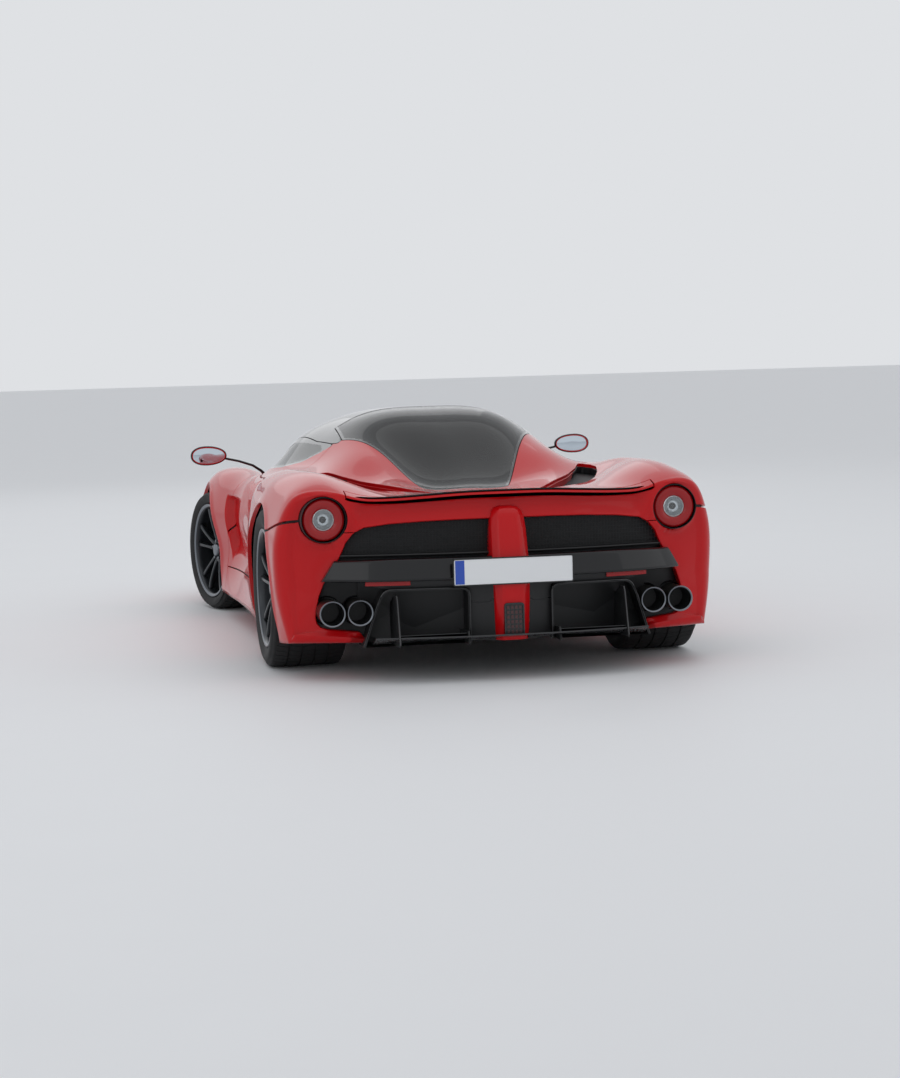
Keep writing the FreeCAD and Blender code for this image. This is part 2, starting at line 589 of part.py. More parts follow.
def wishbone_set(axle, height, joint_x, rail_x, spread, lift):
    """Both arms of one left wheel, each with an upright eye at its ball joint.

    The lift raises the inboard ends of the lower arm.
    """
    parts = []
    reach = size("ball_joint_height")
    for level in (-1, 1):
        z = height + level * reach
        eye = V(joint_x, axle, z)
        parts.append(Part.makeCylinder(20, 18, eye + V(0, 0, -9 + level * 9), V(0, 0, 1)))
        arm_end = eye + V(-6, 0, level * 9)
        for side in (-1, 1):
            rail_z = z + level * 9 + (lift if level < 0 else 0)
            parts.append(rod(V(rail_x - 5, axle + side * spread, rail_z), arm_end, size("arm_radius")))
    body = parts[0].fuse(parts[1:])
    bore = Part.makeCylinder(size("ball_stud_radius") + run_gap, 500, V(joint_x, axle, height - 250), V(0, 0, 1))
    return body.cut(bore)


RAIL_WALL = 30.0
FRONT_RAIL = 300.0
REAR_RAIL = 290.0
floor_top_z = place_z(130) + wall
FLOOR_BELOW = 100.0
front_joint = wheel_middle("front") - size("kingpin_from_wheel")
front_rail = block((FRONT_RAIL, FRONT_RAIL + RAIL_WALL), (front_axle - 190, front_axle + 190),
                   (FLOOR_BELOW, size("front_tyre_radius") + 200))
front_cross = block((0, FRONT_RAIL + 1), (front_axle - 190, front_axle + 190), (FLOOR_BELOW, 290))
front_frame = front_rail.fuse(front_cross).common(inside)
FRONT_ARM_LIFT = 50.0
front_frame = front_frame.fuse(wishbone_set(front_axle, size("front_tyre_radius"), front_joint,
                                            FRONT_RAIL + RAIL_WALL, 150, FRONT_ARM_LIFT))
add_piece("front_suspension", whole(front_frame))


def upright(height_half, axial_low, axial_high, stub_end):
    """Upright with ball studs and the stub axle, about the wheel's centre, outboard along X."""
    joint = -size("kingpin_from_wheel")
    plate = block((axial_low, axial_high), (-42, 42), (-height_half, height_half))
    stud = Part.makeCylinder(size("ball_stud_radius"), 2 * size("ball_joint_height") + 36,
                             V(joint, 0, -size("ball_joint_height") - 18), V(0, 0, 1))
    stub = Part.makeCylinder(size("axle_radius"), stub_end - axial_low, V(axial_low, 0, 0), V(1, 0, 0))
    flange = Part.makeCylinder(62, 14, V(axial_high - 2, 0, 0), V(1, 0, 0))
    return plate.fuse([stud, stub, flange])


DISC_MIDDLE = size("disc_from_middle")
DISC_HALF = size("disc_thickness") / 2
CALIPER_LOW = DISC_MIDDLE - DISC_HALF - size("caliper_gap") - size("caliper_wall")
CALIPER_HIGH = DISC_MIDDLE + DISC_HALF + size("caliper_gap") + size("caliper_wall") - 4
UPRIGHT_LOW, UPRIGHT_HIGH = -78.0, -50.0
STUB_END = 62.0
CALIPER_SPREAD = 30


def caliper(direction, rim_inside):
    """Block over the disc's edge, centred on a direction in degrees from the rear, upwards."""
    high = rim_inside - 6
    ring = Part.makeCylinder(high, CALIPER_HIGH - CALIPER_LOW, V(CALIPER_LOW, 0, 0), V(1, 0, 0))
    ring = ring.cut(Part.makeCylinder(122, 300, V(-150, 0, 0), V(1, 0, 0)))
    slot = Part.makeCylinder(size("disc_radius") + size("caliper_gap"), DISC_HALF * 2 + 2 * size("caliper_gap"),
                             V(DISC_MIDDLE - DISC_HALF - size("caliper_gap"), 0, 0), V(1, 0, 0))
    spread = math.radians(CALIPER_SPREAD)
    far = 400
    wedge = polygon([V(-200, 0, 0), V(-200, far * math.cos(spread), -far * math.sin(spread)),
                     V(-200, far * math.cos(spread), far * math.sin(spread))]).extrude(V(400, 0, 0))
    wedge.rotate(V(0, 0, 0), V(1, 0, 0), direction)
    return ring.cut(slot).common(wedge)


def caliper_lugs(direction):
    """Two lugs from the upright to the inboard face of the caliper."""
    lugs = []
    for turn in (-16, 16):
        lug = block((UPRIGHT_HIGH - 20, CALIPER_LOW - seat), (20, 165), (-12, 12))
        lug.rotate(V(0, 0, 0), V(1, 0, 0), direction + turn)
        lugs.append(lug)
    return lugs


def seated(shape, side, centre_x, axle, height, turn):
    """A wheel-side piece moved to its wheel: side 1 is left, -1 right, turned about its kingpin."""
    copy = shape.copy()
    if side < 0:
        copy = mirrored(copy)
    copy.translate(V(side * centre_x, axle, height))
    if turn:
        kingpin = V(side * (centre_x - size("kingpin_from_wheel")), axle, 0)
        copy.rotate(kingpin, V(0, 0, 1), turn)
    return copy


FRONT_CALIPER = 25
REAR_CALIPER = 155
steer = size("steer_rest")
front_inside = size("front_rim_radius") - size("rim_wall")
rear_inside = size("rear_rim_radius") - size("rim_wall")
front_middle, rear_middle = wheel_middle("front"), wheel_middle("rear")
knuckle = upright(size("ball_joint_height") - 12, UPRIGHT_LOW, UPRIGHT_HIGH, STUB_END)
knuckle = knuckle.fuse(caliper_lugs(FRONT_CALIPER))
front_caliper = caliper(FRONT_CALIPER, front_inside)
for side, tag in ((1, "left"), (-1, "right")):
    add_piece("knuckle_" + tag, seated(knuckle, side, front_middle, front_axle, size("front_tyre_radius"), steer))
    add_piece("caliper_" + tag, seated(front_caliper, side, front_middle, front_axle, size("front_tyre_radius"),
                                       steer))

rear_joint = rear_middle - size("kingpin_from_wheel")
rear_rail = block((REAR_RAIL, REAR_RAIL + RAIL_WALL), (rear_axle - 200, rear_axle + 260),
                  (FLOOR_BELOW, size("rear_tyre_radius") + 200))
rear_cross = block((0, REAR_RAIL + 1), (rear_axle + 200, rear_axle + 260), (FLOOR_BELOW, 420))
rear_upright = upright(size("ball_joint_height") + 10, UPRIGHT_LOW, UPRIGHT_HIGH, STUB_END)
rear_upright = rear_upright.fuse(caliper_lugs(REAR_CALIPER))
shaft = Part.makeCylinder(20, rear_middle - REAR_RAIL, V(REAR_RAIL - rear_middle, 0, 0), V(1, 0, 0))
rear_upright = seated(rear_upright.fuse(shaft), 1, rear_middle, rear_axle, size("rear_tyre_radius"), 0)
rear_frame = rear_rail.fuse(rear_cross).common(inside)
rear_frame = rear_frame.fuse([rear_upright, wishbone_set(rear_axle, size("rear_tyre_radius"), rear_joint,
                                                         REAR_RAIL + RAIL_WALL, 170, 0)])
add_piece("rear_suspension", whole(rear_frame))
rear_caliper = seated(caliper(REAR_CALIPER, rear_inside), 1, rear_middle, rear_axle, size("rear_tyre_radius"), 0)
add_piece("rear_calipers", pair(rear_caliper))


# Wheels: a rim with hub, twin spokes and brake disc, and its tyre
SPOKE_PAIRS = 5
HUB_INNER = -34.0


def profile_ring(points):
    """Solid turned about X from axial, radial pairs."""
    face = polygon([V(a, 0, r) for a, r in points])
    return face.revolve(V(0, 0, 0), V(1, 0, 0), 360)


def rim_solid(rim_radius, rim_width):
    half = rim_width / 2
    seat_r, edge_r, in_r = rim_radius, rim_radius + size("flange_height"), rim_radius - size("rim_wall")
    lip = size("flange_wall")
    barrel = profile_ring([(-half, edge_r), (-half + lip, edge_r), (-half + lip, seat_r), (half - lip, seat_r),
                           (half - lip, edge_r), (half, edge_r), (half, in_r), (-half, in_r)])
    face_low = half - size("spoke_inset") - size("spoke_depth")
    face_high = half - size("spoke_inset")
    dish = 26
    bore = size("axle_radius") + run_gap
    hub = profile_ring([(HUB_INNER, bore), (HUB_INNER, size("hub_radius") - 8), (face_low - dish, size("hub_radius")),
                        (face_high - dish, size("hub_radius") - 14), (face_high - dish, 34), (face_high - 8, 26),
                        (face_high - 8, 0), (STUB_END + 3, 0), (STUB_END + 3, bore)])
    bell_r = size("disc_bore")
    disc = profile_ring([(DISC_MIDDLE - DISC_HALF, bell_r - 8), (DISC_MIDDLE - DISC_HALF, size("disc_radius")),
                         (DISC_MIDDLE + DISC_HALF, size("disc_radius")), (DISC_MIDDLE + DISC_HALF, bell_r),
                         (DISC_MIDDLE + DISC_HALF + 8, bell_r), (DISC_MIDDLE + DISC_HALF + 8, size("hub_radius") - 20),
                         (DISC_MIDDLE + DISC_HALF, size("hub_radius") - 20), (DISC_MIDDLE + DISC_HALF, bell_r - 8)])
    spokes = []
    spoke_room = Part.makeCylinder(rim_radius - 3, rim_width, V(-half, 0, 0), V(1, 0, 0))
    for number in range(SPOKE_PAIRS):
        for side in (-1, 1):
            inner_y, outer_y = side * 14, side * 62
            corners = [(inner_y - 13, size("hub_radius") - 16), (inner_y + 13, size("hub_radius") - 16),
                       (outer_y + 11, in_r + 3), (outer_y - 11, in_r + 3)]
            low = polygon([V(face_low - dish + 4 if r < in_r else face_low, y, r) for y, r in corners])
            high = polygon([V(face_high - dish if r < in_r else face_high, y, r) for y, r in corners])
            wires = [low.OuterWire, high.OuterWire]
            spoke = Part.makeLoft(wires, True, True).common(spoke_room)
            spoke.rotate(V(0, 0, 0), V(1, 0, 0), number * 360.0 / SPOKE_PAIRS)
            spokes.append(spoke)
    return barrel.fuse([hub, disc] + spokes)


def tyre_solid(rim_radius, rim_width, radius, width):
    bead = rim_width / 2 - size("flange_wall") - seat
    half = width / 2
    seat_r = rim_radius + seat
    flange_r = rim_radius + size("flange_height") + 4
    shoulder = 30
    side_r = (flange_r + radius) / 2
    outline = [
        Part.makeLine(V(-bead, 0, seat_r), V(-bead, 0, flange_r)),
        bow(V(-bead, 0, flange_r), V(-half, 0, side_r), V(-half + 14, 0, radius - shoulder / 2)),
        bow(V(-half + 14, 0, radius - shoulder / 2), V(-half + 20, 0, radius - 5), V(-half + shoulder + 8, 0, radius)),
        Part.makeLine(V(-half + shoulder + 8, 0, radius), V(half - shoulder - 8, 0, radius)),
        bow(V(half - shoulder - 8, 0, radius), V(half - 20, 0, radius - 5), V(half - 14, 0, radius - shoulder / 2)),
        bow(V(half - 14, 0, radius - shoulder / 2), V(half, 0, side_r), V(bead, 0, flange_r)),
        Part.makeLine(V(bead, 0, flange_r), V(bead, 0, seat_r)),
        Part.makeLine(V(bead, 0, seat_r), V(-bead, 0, seat_r)),
    ]
    return Part.Face(Part.Wire(outline)).revolve(V(0, 0, 0), V(1, 0, 0), 360)


for end, middle, axle, turn in (("front", front_middle, front_axle, steer), ("rear", rear_middle, rear_axle, 0)):
    rim = rim_solid(size(end + "_rim_radius"), size(end + "_rim_width"))
    tyre = tyre_solid(size(end + "_rim_radius"), size(end + "_rim_width"), size(end + "_tyre_radius"),
                      size(end + "_tyre_width"))
    for side, tag in ((1, "left"), (-1, "right")):
        height = size(end + "_tyre_radius")
        add_piece("rim_%s_%s" % (end, tag), seated(rim, side, middle, axle, height, turn))
        add_piece("tyre_%s_%s" % (end, tag), seated(tyre, side, middle, axle, height, turn))

# Cabin and engine
SEAT_SIDE = ((-290, 0), (-300, 150), (-250, 185), (100, 120), (300, 560), (350, 760), (430, 770), (455, 700),
             (330, 300), (250, 60), (240, 0))
SEAT_X = (125.0, 565.0)
BOLSTER = ((-260, 150), (-240, 235), (100, 190), (290, 560), (330, 600), (400, 560), (330, 300), (200, 100))
seat_base = floor_top_z + seat


def seat_prism(points, low, high):
    face = polygon([V(place_x(low), place_y(y), seat_base + z) for y, z in points])
    return face.extrude(V(place_x(high) - place_x(low), 0, 0))


seat_solid = seat_prism(SEAT_SIDE, SEAT_X[0] + 40, SEAT_X[1] - 40)
for low, high in ((SEAT_X[0], SEAT_X[0] + 62), (SEAT_X[1] - 62, SEAT_X[1])):
    seat_solid = seat_solid.fuse(seat_prism(BOLSTER, low, high))
add_piece("seats", pair(seat_solid))
DASH = ((-769.7, 520), (-769.7, 700), (-560, 735), (-400, 700), (-340, 620), (-400, 540), (-520, 500))
dash = side_prism(DASH, 0, 640).common(inside)
wheel_centre = at(345, -235, 640)
column_axis = V(0, math.cos(math.radians(22)), math.sin(math.radians(22)))
column = rod(wheel_centre - column_axis * 260, wheel_centre - column_axis * 20, 24)
dash_whole = whole(dash).fuse(column)
add_piece("dashboard", dash_whole)
ring = Part.makeTorus(size("steering_wheel_radius"), size("grip_radius"), wheel_centre, column_axis)
hub_disc = rod(wheel_centre - column_axis * (20 - run_gap), wheel_centre + column_axis * 22, 52)
across = V(1, 0, 0)
upward = column_axis.cross(across)
spoke_l = rod(wheel_centre - across * 170, wheel_centre + across * 170, 11)
spoke_d = rod(wheel_centre, wheel_centre - upward * 170, 11)
steering = ring.fuse([hub_disc, spoke_l, spoke_d])
steering.rotate(wheel_centre, column_axis, steer * 12)
add_piece("steering_wheel", steering)
engine = doc.addObject("Part::Box", "engine")
engine.Label = "engine"
engine.setExpression("Length", "Sizes.engine_width")
engine.setExpression("Width", "Sizes.engine_length")
engine.setExpression("Height", "Sizes.engine_height")
ENGINE_BASE = 172.0
engine.Placement.Base = V(-size("engine_width") / 2, place_y(BULKHEAD[1]) + seat, place_z(ENGINE_BASE))
nodes["engine"] = engine

# Mirrors on thin stalks from the fender tops
MIRROR = (985, -672, 862)
STALK_ROOT = (672, -752, 742)
STALK_KNEE = (760, -725, 812)
# Ovals of the mirror's shell: distance behind its centre, half width, half height
MIRROR_OVALS = ((26, 96, 53), (0, 93, 51), (-30, 66, 36), (-46, 22, 12))
ovals = []
for behind, half_width, half_height in MIRROR_OVALS:
    centre = at(*MIRROR) + V(0, behind, 0)
    oval = Part.Ellipse(centre + V(half_width, 0, 0), centre + V(0, 0, half_height), centre)
    ovals.append(Part.Wire(oval.toShape()))
head = Part.makeLoft(ovals, True, False)
stalk = rod(at(*STALK_ROOT), at(*STALK_KNEE), 10).fuse([rod(at(*STALK_KNEE), at(*MIRROR), 9),
                                                        Part.makeSphere(10, at(*STALK_KNEE))])
mirror = head.fuse(stalk).cut(outer)
add_piece("mirrors", pair(mirror))

# Front lid, hinged at the cowl
add_piece("front_lid", whole(skin.common(lid_prism)))

# Engine cover and its glass
add_piece("engine_cover", whole(skin.common(cover_prism).cut(glass_prism)))
add_piece("engine_glass", whole(outer.common(glass_prism).cut(pane)))

# Doors
DOOR_PIVOT = (832, -650, 695)
DOOR_SWING = 44.0
door_pivot = at(*DOOR_PIVOT)
door_axis = V(-0.6, 0.15, 0.79).normalize()
swing_space = rod(door_pivot - door_axis * 900, door_pivot + door_axis * 900, DOOR_SWING)
door = outer.common(door_prism).cut([trim, swing_space, window_prism])
door_glass = outer.common(window_prism).common(door_prism).cut(pane)
for tag, shape in (("left", door), ("right", mirrored(door))):
    add_piece("door_" + tag, shape)
for tag, shape in (("left", door_glass), ("right", mirrored(door_glass))):
    add_piece("door_glass_" + tag, shape)

doc.recompute()
for item in doc.Objects:
    if "Invalid" in item.State or "Error" in item.State:
        raise RuntimeError("failed: " + item.Label)
os.makedirs("parts", exist_ok=True)
for name, piece in nodes.items():
    shape = piece.Shape
    if shape.isNull() or not shape.isValid():
        raise RuntimeError("not a valid solid: " + name)
    print(name, len(shape.Solids), round(shape.Volume / 1e6, 2))
    shape.exportStep("parts/%s.step" % name)
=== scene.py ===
# Visual model of a red mid-engined two-seat supercar, dressed round its fixed frame.
# Metres, in the frame's axes: the car faces -Y, its left is +X, Z is up.
from math import copysign, cos, exp, pi, radians, sin, sqrt

import bmesh
import bpy
import numpy as np
from mathutils import Matrix, Vector


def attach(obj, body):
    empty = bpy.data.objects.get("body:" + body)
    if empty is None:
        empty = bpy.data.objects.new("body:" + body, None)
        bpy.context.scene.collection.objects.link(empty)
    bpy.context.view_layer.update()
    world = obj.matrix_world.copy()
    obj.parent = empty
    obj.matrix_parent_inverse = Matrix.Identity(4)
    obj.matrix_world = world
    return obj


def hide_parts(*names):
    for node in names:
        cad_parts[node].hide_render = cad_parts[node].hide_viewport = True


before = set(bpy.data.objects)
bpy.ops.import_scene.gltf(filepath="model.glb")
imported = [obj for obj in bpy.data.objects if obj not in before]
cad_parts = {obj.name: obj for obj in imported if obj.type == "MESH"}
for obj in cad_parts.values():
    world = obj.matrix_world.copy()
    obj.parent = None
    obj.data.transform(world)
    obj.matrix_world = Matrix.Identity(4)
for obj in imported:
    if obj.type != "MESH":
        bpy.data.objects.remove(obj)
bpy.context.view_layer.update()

bl_info = {"name": "Mid-engined supercar", "version": (1, 0, 0), "blender": (4, 5, 0),
    "location": "View3D > Sidebar > Supercar",
    "description": "Builds the painted shell, glass, lamps, wheels, cabin and engine of a red supercar",
    "category": "Object",}

MM = 0.001
TAU = 2 * pi

# Colours in sRGB
RED = "#BE050D"
GLOSS_BLACK = "#0B0C0F"
CARBON = "#17181B"
MOULDED_BLACK = "#141517"
MESH_BLACK = "#0D0E10"
CLEAR_GREEN = "#B9C7BF"
LENS_RED = "#9A040B"
PLATE_WHITE = "#E6E8EA"
PLATE_BLUE = "#1747B0"
STEEL = "#8E9196"
CAST = "#A9ACAF"
RIM_GREY = "#33363A"
RIM_EDGE = "#7A7E84"
CALIPER = "#D8A31A"
RUBBER = "#1B1B1C"
LEATHER = "#1C1B1D"
EXHAUST = "#4A4643"


class SupercarSizes(bpy.types.PropertyGroup):
    """Sizes that a user would change."""

    shut_line: bpy.props.FloatProperty(name="Shut line", description="Gap between two panels", default=0.005,
        min=0.001, subtype="DISTANCE")
    skin: bpy.props.FloatProperty(name="Panel thickness", description="Painted panel with its folded edge",
        default=0.018, min=0.002, subtype="DISTANCE")
    door: bpy.props.FloatProperty(name="Door thickness", description="Door from skin to trim", default=0.056,
        min=0.01, subtype="DISTANCE")
    glass: bpy.props.FloatProperty(name="Glass", description="Thickness of all glazing", default=0.005, min=0.002,
        subtype="DISTANCE")
    mesh_pitch: bpy.props.FloatProperty(name="Grille pitch", description="Distance between two openings of a grille",
        default=0.014, min=0.005, subtype="DISTANCE")
    twin_spokes: bpy.props.IntProperty(name="Twin spokes", description="Pairs of spokes in a wheel", default=5, min=3,
        max=9)
    tread_blocks: bpy.props.IntProperty(name="Tread cuts", description="Cross cuts round a tyre", default=64, min=20,
        max=120)


class SupercarColours(bpy.types.PropertyGroup):
    """Colours that a user would change."""

    paint: bpy.props.StringProperty(name="Paint", description="Body colour, sRGB hex", default=RED)
    roof: bpy.props.StringProperty(name="Roof", description="Roof and pillars, sRGB hex", default=GLOSS_BLACK)
    wheels: bpy.props.StringProperty(name="Wheels", description="Wheel colour, sRGB hex", default=RIM_GREY)
    calipers: bpy.props.StringProperty(name="Calipers", description="Brake calipers, sRGB hex", default=CALIPER)
    seats: bpy.props.StringProperty(name="Seats", description="Seat leather, sRGB hex", default=LEATHER)


def linear(hex_text):
    """Linear colour with alpha from an sRGB hex value."""
    parts = [int(hex_text[k:k + 2], 16) / 255 for k in (1, 3, 5)]
    return [c / 12.92 if c <= 0.04045 else ((c + 0.055) / 1.055) ** 2.4 for c in parts] + [1.0]


def sizes():
    return bpy.context.scene.supercar_sizes


def colours():
    return bpy.context.scene.supercar_colours


def add(tree, kind, inputs=None, **settings):
    """A node of a kind with its settings; inputs gives each input a value or another node's socket."""
    node = tree.nodes.new(kind)
    for key, value in settings.items():
        setattr(node, key, value)
    for key, value in (inputs or {}).items():
        if isinstance(value, bpy.types.NodeSocket):
            tree.links.new(value, node.inputs[key])
        else:
            node.inputs[key].default_value = value
    return node


def linked(name, data):
    """A new object in the scene."""
    obj = bpy.data.objects.new(name, data)
    bpy.context.collection.objects.link(obj)
    return obj


def finish_of(name, colour, **sockets):
    """A new material whose surface shader has uniform values, and the shader to add patterns to."""
    material = bpy.data.materials.new(name)
    material.use_nodes = True
    shader = material.node_tree.nodes["Principled BSDF"]
    shader.inputs["Base Color"].default_value = linear(colour)
    for key, value in sockets.items():
        shader.inputs[key.replace("_", " ")].default_value = value
    return material, material.node_tree, shader


def bumped(tree, shader, height, strength, distance, normal="Normal"):
    bump = add(tree, "ShaderNodeBump", {"Height": height, "Strength": strength, "Distance": distance})
    tree.links.new(bump.outputs["Normal"], shader.inputs[normal])


def object_noise(tree, size_m, detail=2.0):
    """Noise whose features are about a size in metres, on Object coordinates."""
    place = add(tree, "ShaderNodeTexCoord")
    return add(tree, "ShaderNodeTexNoise", {"Vector": place.outputs["Object"], "Scale": 1 / size_m, "Detail": detail})


def grained(name, colour, size_m, strength, distance=0.0003, detail=2.0, normal="Normal", **sockets):
    """A finish with an even grain of a size in metres."""
    material, tree, shader = finish_of(name, colour, **sockets)
    bumped(tree, shader, object_noise(tree, size_m, detail).outputs["Fac"], strength, distance, normal)
    return material


# Sprayed two-layer body paint: a deep colour under a hard clear coat, with faint orange peel
def body_paint():
    return grained("body_paint", colours().paint, 0.004, 0.007, 0.0006, normal="Coat Normal", Roughness=0.4,
        Specular_IOR_Level=0.12, Coat_Weight=0.85, Coat_Roughness=0.04, Coat_IOR=1.3)


# Black gloss paint: almost no colour of its own, so it shows what it mirrors
def black_gloss():
    return grained("black_gloss", colours().roof, 0.004, 0.007, 0.0006, normal="Coat Normal", Roughness=0.25,
        Specular_IOR_Level=0.2, Coat_Weight=1.0, Coat_Roughness=0.03, Coat_IOR=1.34)


# Lacquered twill carbon fibre: 3 mm tows drawn at 6 mm so that the weave shows
def carbon_twill():
    material, tree, shader = finish_of("carbon_twill", CARBON, Metallic=0.2, Roughness=0.38, Coat_Weight=0.8,
        Coat_Roughness=0.06)
    place = add(tree, "ShaderNodeTexCoord")
    turn = add(tree, "ShaderNodeMapping", {"Vector": place.outputs["Object"], "Rotation": (0.6, 0.5, radians(45))})
    weave = add(tree, "ShaderNodeTexWave", {"Vector": turn.outputs["Vector"], "Scale": 1 / 0.006 / TAU * 2,
        "Distortion": 0.0})
    ramp = add(tree, "ShaderNodeMapRange", {"Value": weave.outputs["Fac"], "To Min": 0.3, "To Max": 0.48})
    tree.links.new(ramp.outputs["Result"], shader.inputs["Roughness"])
    bumped(tree, shader, weave.outputs["Fac"], 0.08, 0.0004)
    return material


# Injection-moulded black polypropylene with a fine spark-eroded grain
def moulded_plastic():
    return grained("moulded_plastic", MOULDED_BLACK, 0.0015, 0.12, 0.0004, Roughness=0.52)


# Powder-coated woven wire
def coated_wire():
    return grained("coated_wire", MESH_BLACK, 0.002, 0.1, Roughness=0.6)


# Moulded satin black trim, smoother than the plastic, for surrounds, collars, lamp housings and the wiper
def satin_trim():
    return grained("satin_trim", "#101215", 0.003, 0.04, Roughness=0.26, Coat_Weight=0.35, Coat_Roughness=0.12)


def glazing(name, colour, clear, mirror_ior=1.5):
    """Thin sheet glass: a mirror coat over a tint that lets light through. Each sheet is crossed at two faces."""
    material, tree, shader = finish_of(name, colour, Roughness=0.0)
    see_through = add(tree, "ShaderNodeBsdfTransparent", {"Color": linear(colour)})
    mirror = add(tree, "ShaderNodeBsdfGlossy", {"Color": (1, 1, 1, 1), "Roughness": 0.01})
    fresnel = add(tree, "ShaderNodeFresnel", {"IOR": mirror_ior})
    body = add(tree, "ShaderNodeMixShader", {0: clear, 1: shader.outputs[0], 2: see_through.outputs[0]})
    coated = add(tree, "ShaderNodeMixShader", {0: fresnel.outputs[0], 1: body.outputs[0], 2: mirror.outputs[0]})
    output = tree.nodes["Material Output"]
    tree.links.new(coated.outputs[0], output.inputs["Surface"])
    return material


# Moulded red acrylic lens
def red_acrylic():
    return finish_of("red_acrylic", LENS_RED, Roughness=0.22, Specular_IOR_Level=0.25, Coat_Weight=0.8,
        Coat_Roughness=0.02, Coat_IOR=1.35)[0]


# Polished clear acrylic over a metallised reflector
def clear_acrylic():
    return glazing("clear_acrylic", "#F6F8F9", 0.97)


def metal(name, colour, roughness, grain_size=0.002, strength=0.06, metallic=1.0):
    return grained(name, colour, grain_size, strength, Metallic=metallic, Roughness=roughness)


# Powder-coated forged aluminium wheels: dark, with a soft metallic shine
def forged_wheel():
    return grained("forged_wheel", colours().wheels, 0.0015, 0.05, Metallic=0.75, Roughness=0.34, Coat_Weight=0.3,
        Coat_Roughness=0.15)


# Vulcanised rubber, with the slight bloom that its sidewalls get
def tyre_rubber():
    material, tree, shader = finish_of("tyre_rubber", RUBBER, Roughness=0.72)
    bloom = object_noise(tree, 0.05, 4.0)
    ramp = add(tree, "ShaderNodeMapRange", {"Value": bloom.outputs["Fac"], "To Min": 0.62, "To Max": 0.82})
    tree.links.new(ramp.outputs["Result"], shader.inputs["Roughness"])
    grain = object_noise(tree, 0.001)
    bumped(tree, shader, grain.outputs["Fac"], 0.15, 0.0004)
    return material


# Carbon-ceramic friction ring: matt grey with a faint fibre mottle
def ceramic_disc():
    material, tree, shader = finish_of("ceramic_disc", "#4B4C4F", Metallic=0.4, Roughness=0.42)
    fibre = object_noise(tree, 0.004, 4.0)
    tone = add(tree, "ShaderNodeMix", {"Factor": fibre.outputs["Fac"], "A": linear("#3B3C3F"),
        "B": linear("#5E6064")}, data_type="RGBA")
    tree.links.new(tone.outputs[2], shader.inputs["Base Color"])
    return material


def leather(name, colour):
    """Pigmented hide with a pebble grain of about a millimetre."""
    material, tree, shader = finish_of(name, colour, Roughness=0.48, Sheen_Weight=0.1)
    place = add(tree, "ShaderNodeTexCoord")
    pebble = add(tree, "ShaderNodeTexVoronoi", {"Vector": place.outputs["Object"], "Scale": 1 / 0.0022})
    bumped(tree, shader, pebble.outputs["Distance"], 0.2, 0.0006)
    return material


# Woven synthetic suede on the dashboard
def suede():
    return grained("suede", "#202124", 0.0012, 0.25, 0.0005, 4.0, Roughness=0.9, Sheen_Weight=0.35,
        Sheen_Roughness=0.5)


# Needled felt and tufted carpet: no shine, short fibres in every direction
def felt(name, colour, fibre_m):
    return grained(name, colour, fibre_m, 0.5, 0.0015, 5.0, Roughness=0.95, Sheen_Weight=0.3, Sheen_Roughness=0.6)


# Waxed polyester thread of the seams
def seam_thread():
    return grained("seam_thread", "#B5141C", 0.0006, 0.2, Roughness=0.6, Sheen_Weight=0.2)


# Pressed and painted number plate sheet
def plate_sheet(name, colour):
    return grained(name, colour, 0.002, 0.03, Roughness=0.35, Coat_Weight=0.4, Coat_Roughness=0.1)


# Poured and sealed studio floor
def studio_floor():
    material, tree, shader = finish_of("studio_floor", "#E9EAEC", Roughness=0.6)
    bloom = object_noise(tree, 0.4, 4.0)
    ramp = add(tree, "ShaderNodeMapRange", {"Value": bloom.outputs["Fac"], "To Min": 0.52, "To Max": 0.68})
    tree.links.new(ramp.outputs["Result"], shader.inputs["Roughness"])
    return material


FINISHES = {}


def finish(name):
    """A named finish, made on first use."""
    makers = {"paint": body_paint, "black": black_gloss, "carbon": carbon_twill, "plastic": moulded_plastic,
        "wire": coated_wire, "trim": satin_trim, "red_lens": red_acrylic, "clear_lens": clear_acrylic,
        "wheel": forged_wheel, "rubber": tyre_rubber, "disc": ceramic_disc, "suede": suede,
        "cover_glass": lambda: glazing("lightly_smoked_glass", "#D2D8DA", 0.985, 1.36),
        # Only half metallic: partly a real satin reflection, partly a painted sheen from its white diffuse part,
        # which keeps the lamp trim rings and reflectors bright
        "chrome": lambda: metal("satin_chrome", "#E4E7E9", 0.25, 0.004, 0.02, 0.55),
        "fog_lens": lambda: plate_sheet("fog_lens_red", "#3C0B0E"),
        "side_glass": lambda: glazing("side_glass", CLEAR_GREEN, 0.95, 1.36),
        "steel": lambda: metal("brushed_steel", STEEL, 0.3),
        "cast": lambda: metal("cast_aluminium", CAST, 0.42, 0.0012, 0.2),
        "mirror": lambda: metal("mirror_silver", "#C9D3DC", 0.03, 0.05, 0.0),
        "rim_edge": lambda: metal("turned_rim_edge", RIM_EDGE, 0.28),
        "pipe": lambda: metal("exhaust_steel", EXHAUST, 0.35, 0.002, 0.1),
        "caliper": lambda: plate_sheet("caliper_enamel", colours().calipers),
        "plate": lambda: plate_sheet("plate_white", PLATE_WHITE),
        "plate_blue": lambda: plate_sheet("plate_blue", PLATE_BLUE),
        "crackle": lambda: plate_sheet("engine_crackle_red", "#A80F14"),
        "leather": lambda: leather("seat_leather", colours().seats), "thread": seam_thread,
        "felt": lambda: felt("needled_felt", "#1A1B1C", 0.002),
        "carpet": lambda: felt("tufted_carpet", "#1D1D20", 0.0035),}
    if name not in FINISHES:
        FINISHES[name] = makers[name]()
    return FINISHES[name]


def place_piece(obj, finishes, replaced=(), body="root"):
    """Gives a finished piece its materials, its body and the frame nodes that it stands for."""
    for name in finishes:
        obj.data.materials.append(finish(name))
    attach(obj, body)
    if replaced:
        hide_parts(*replaced)
    return obj


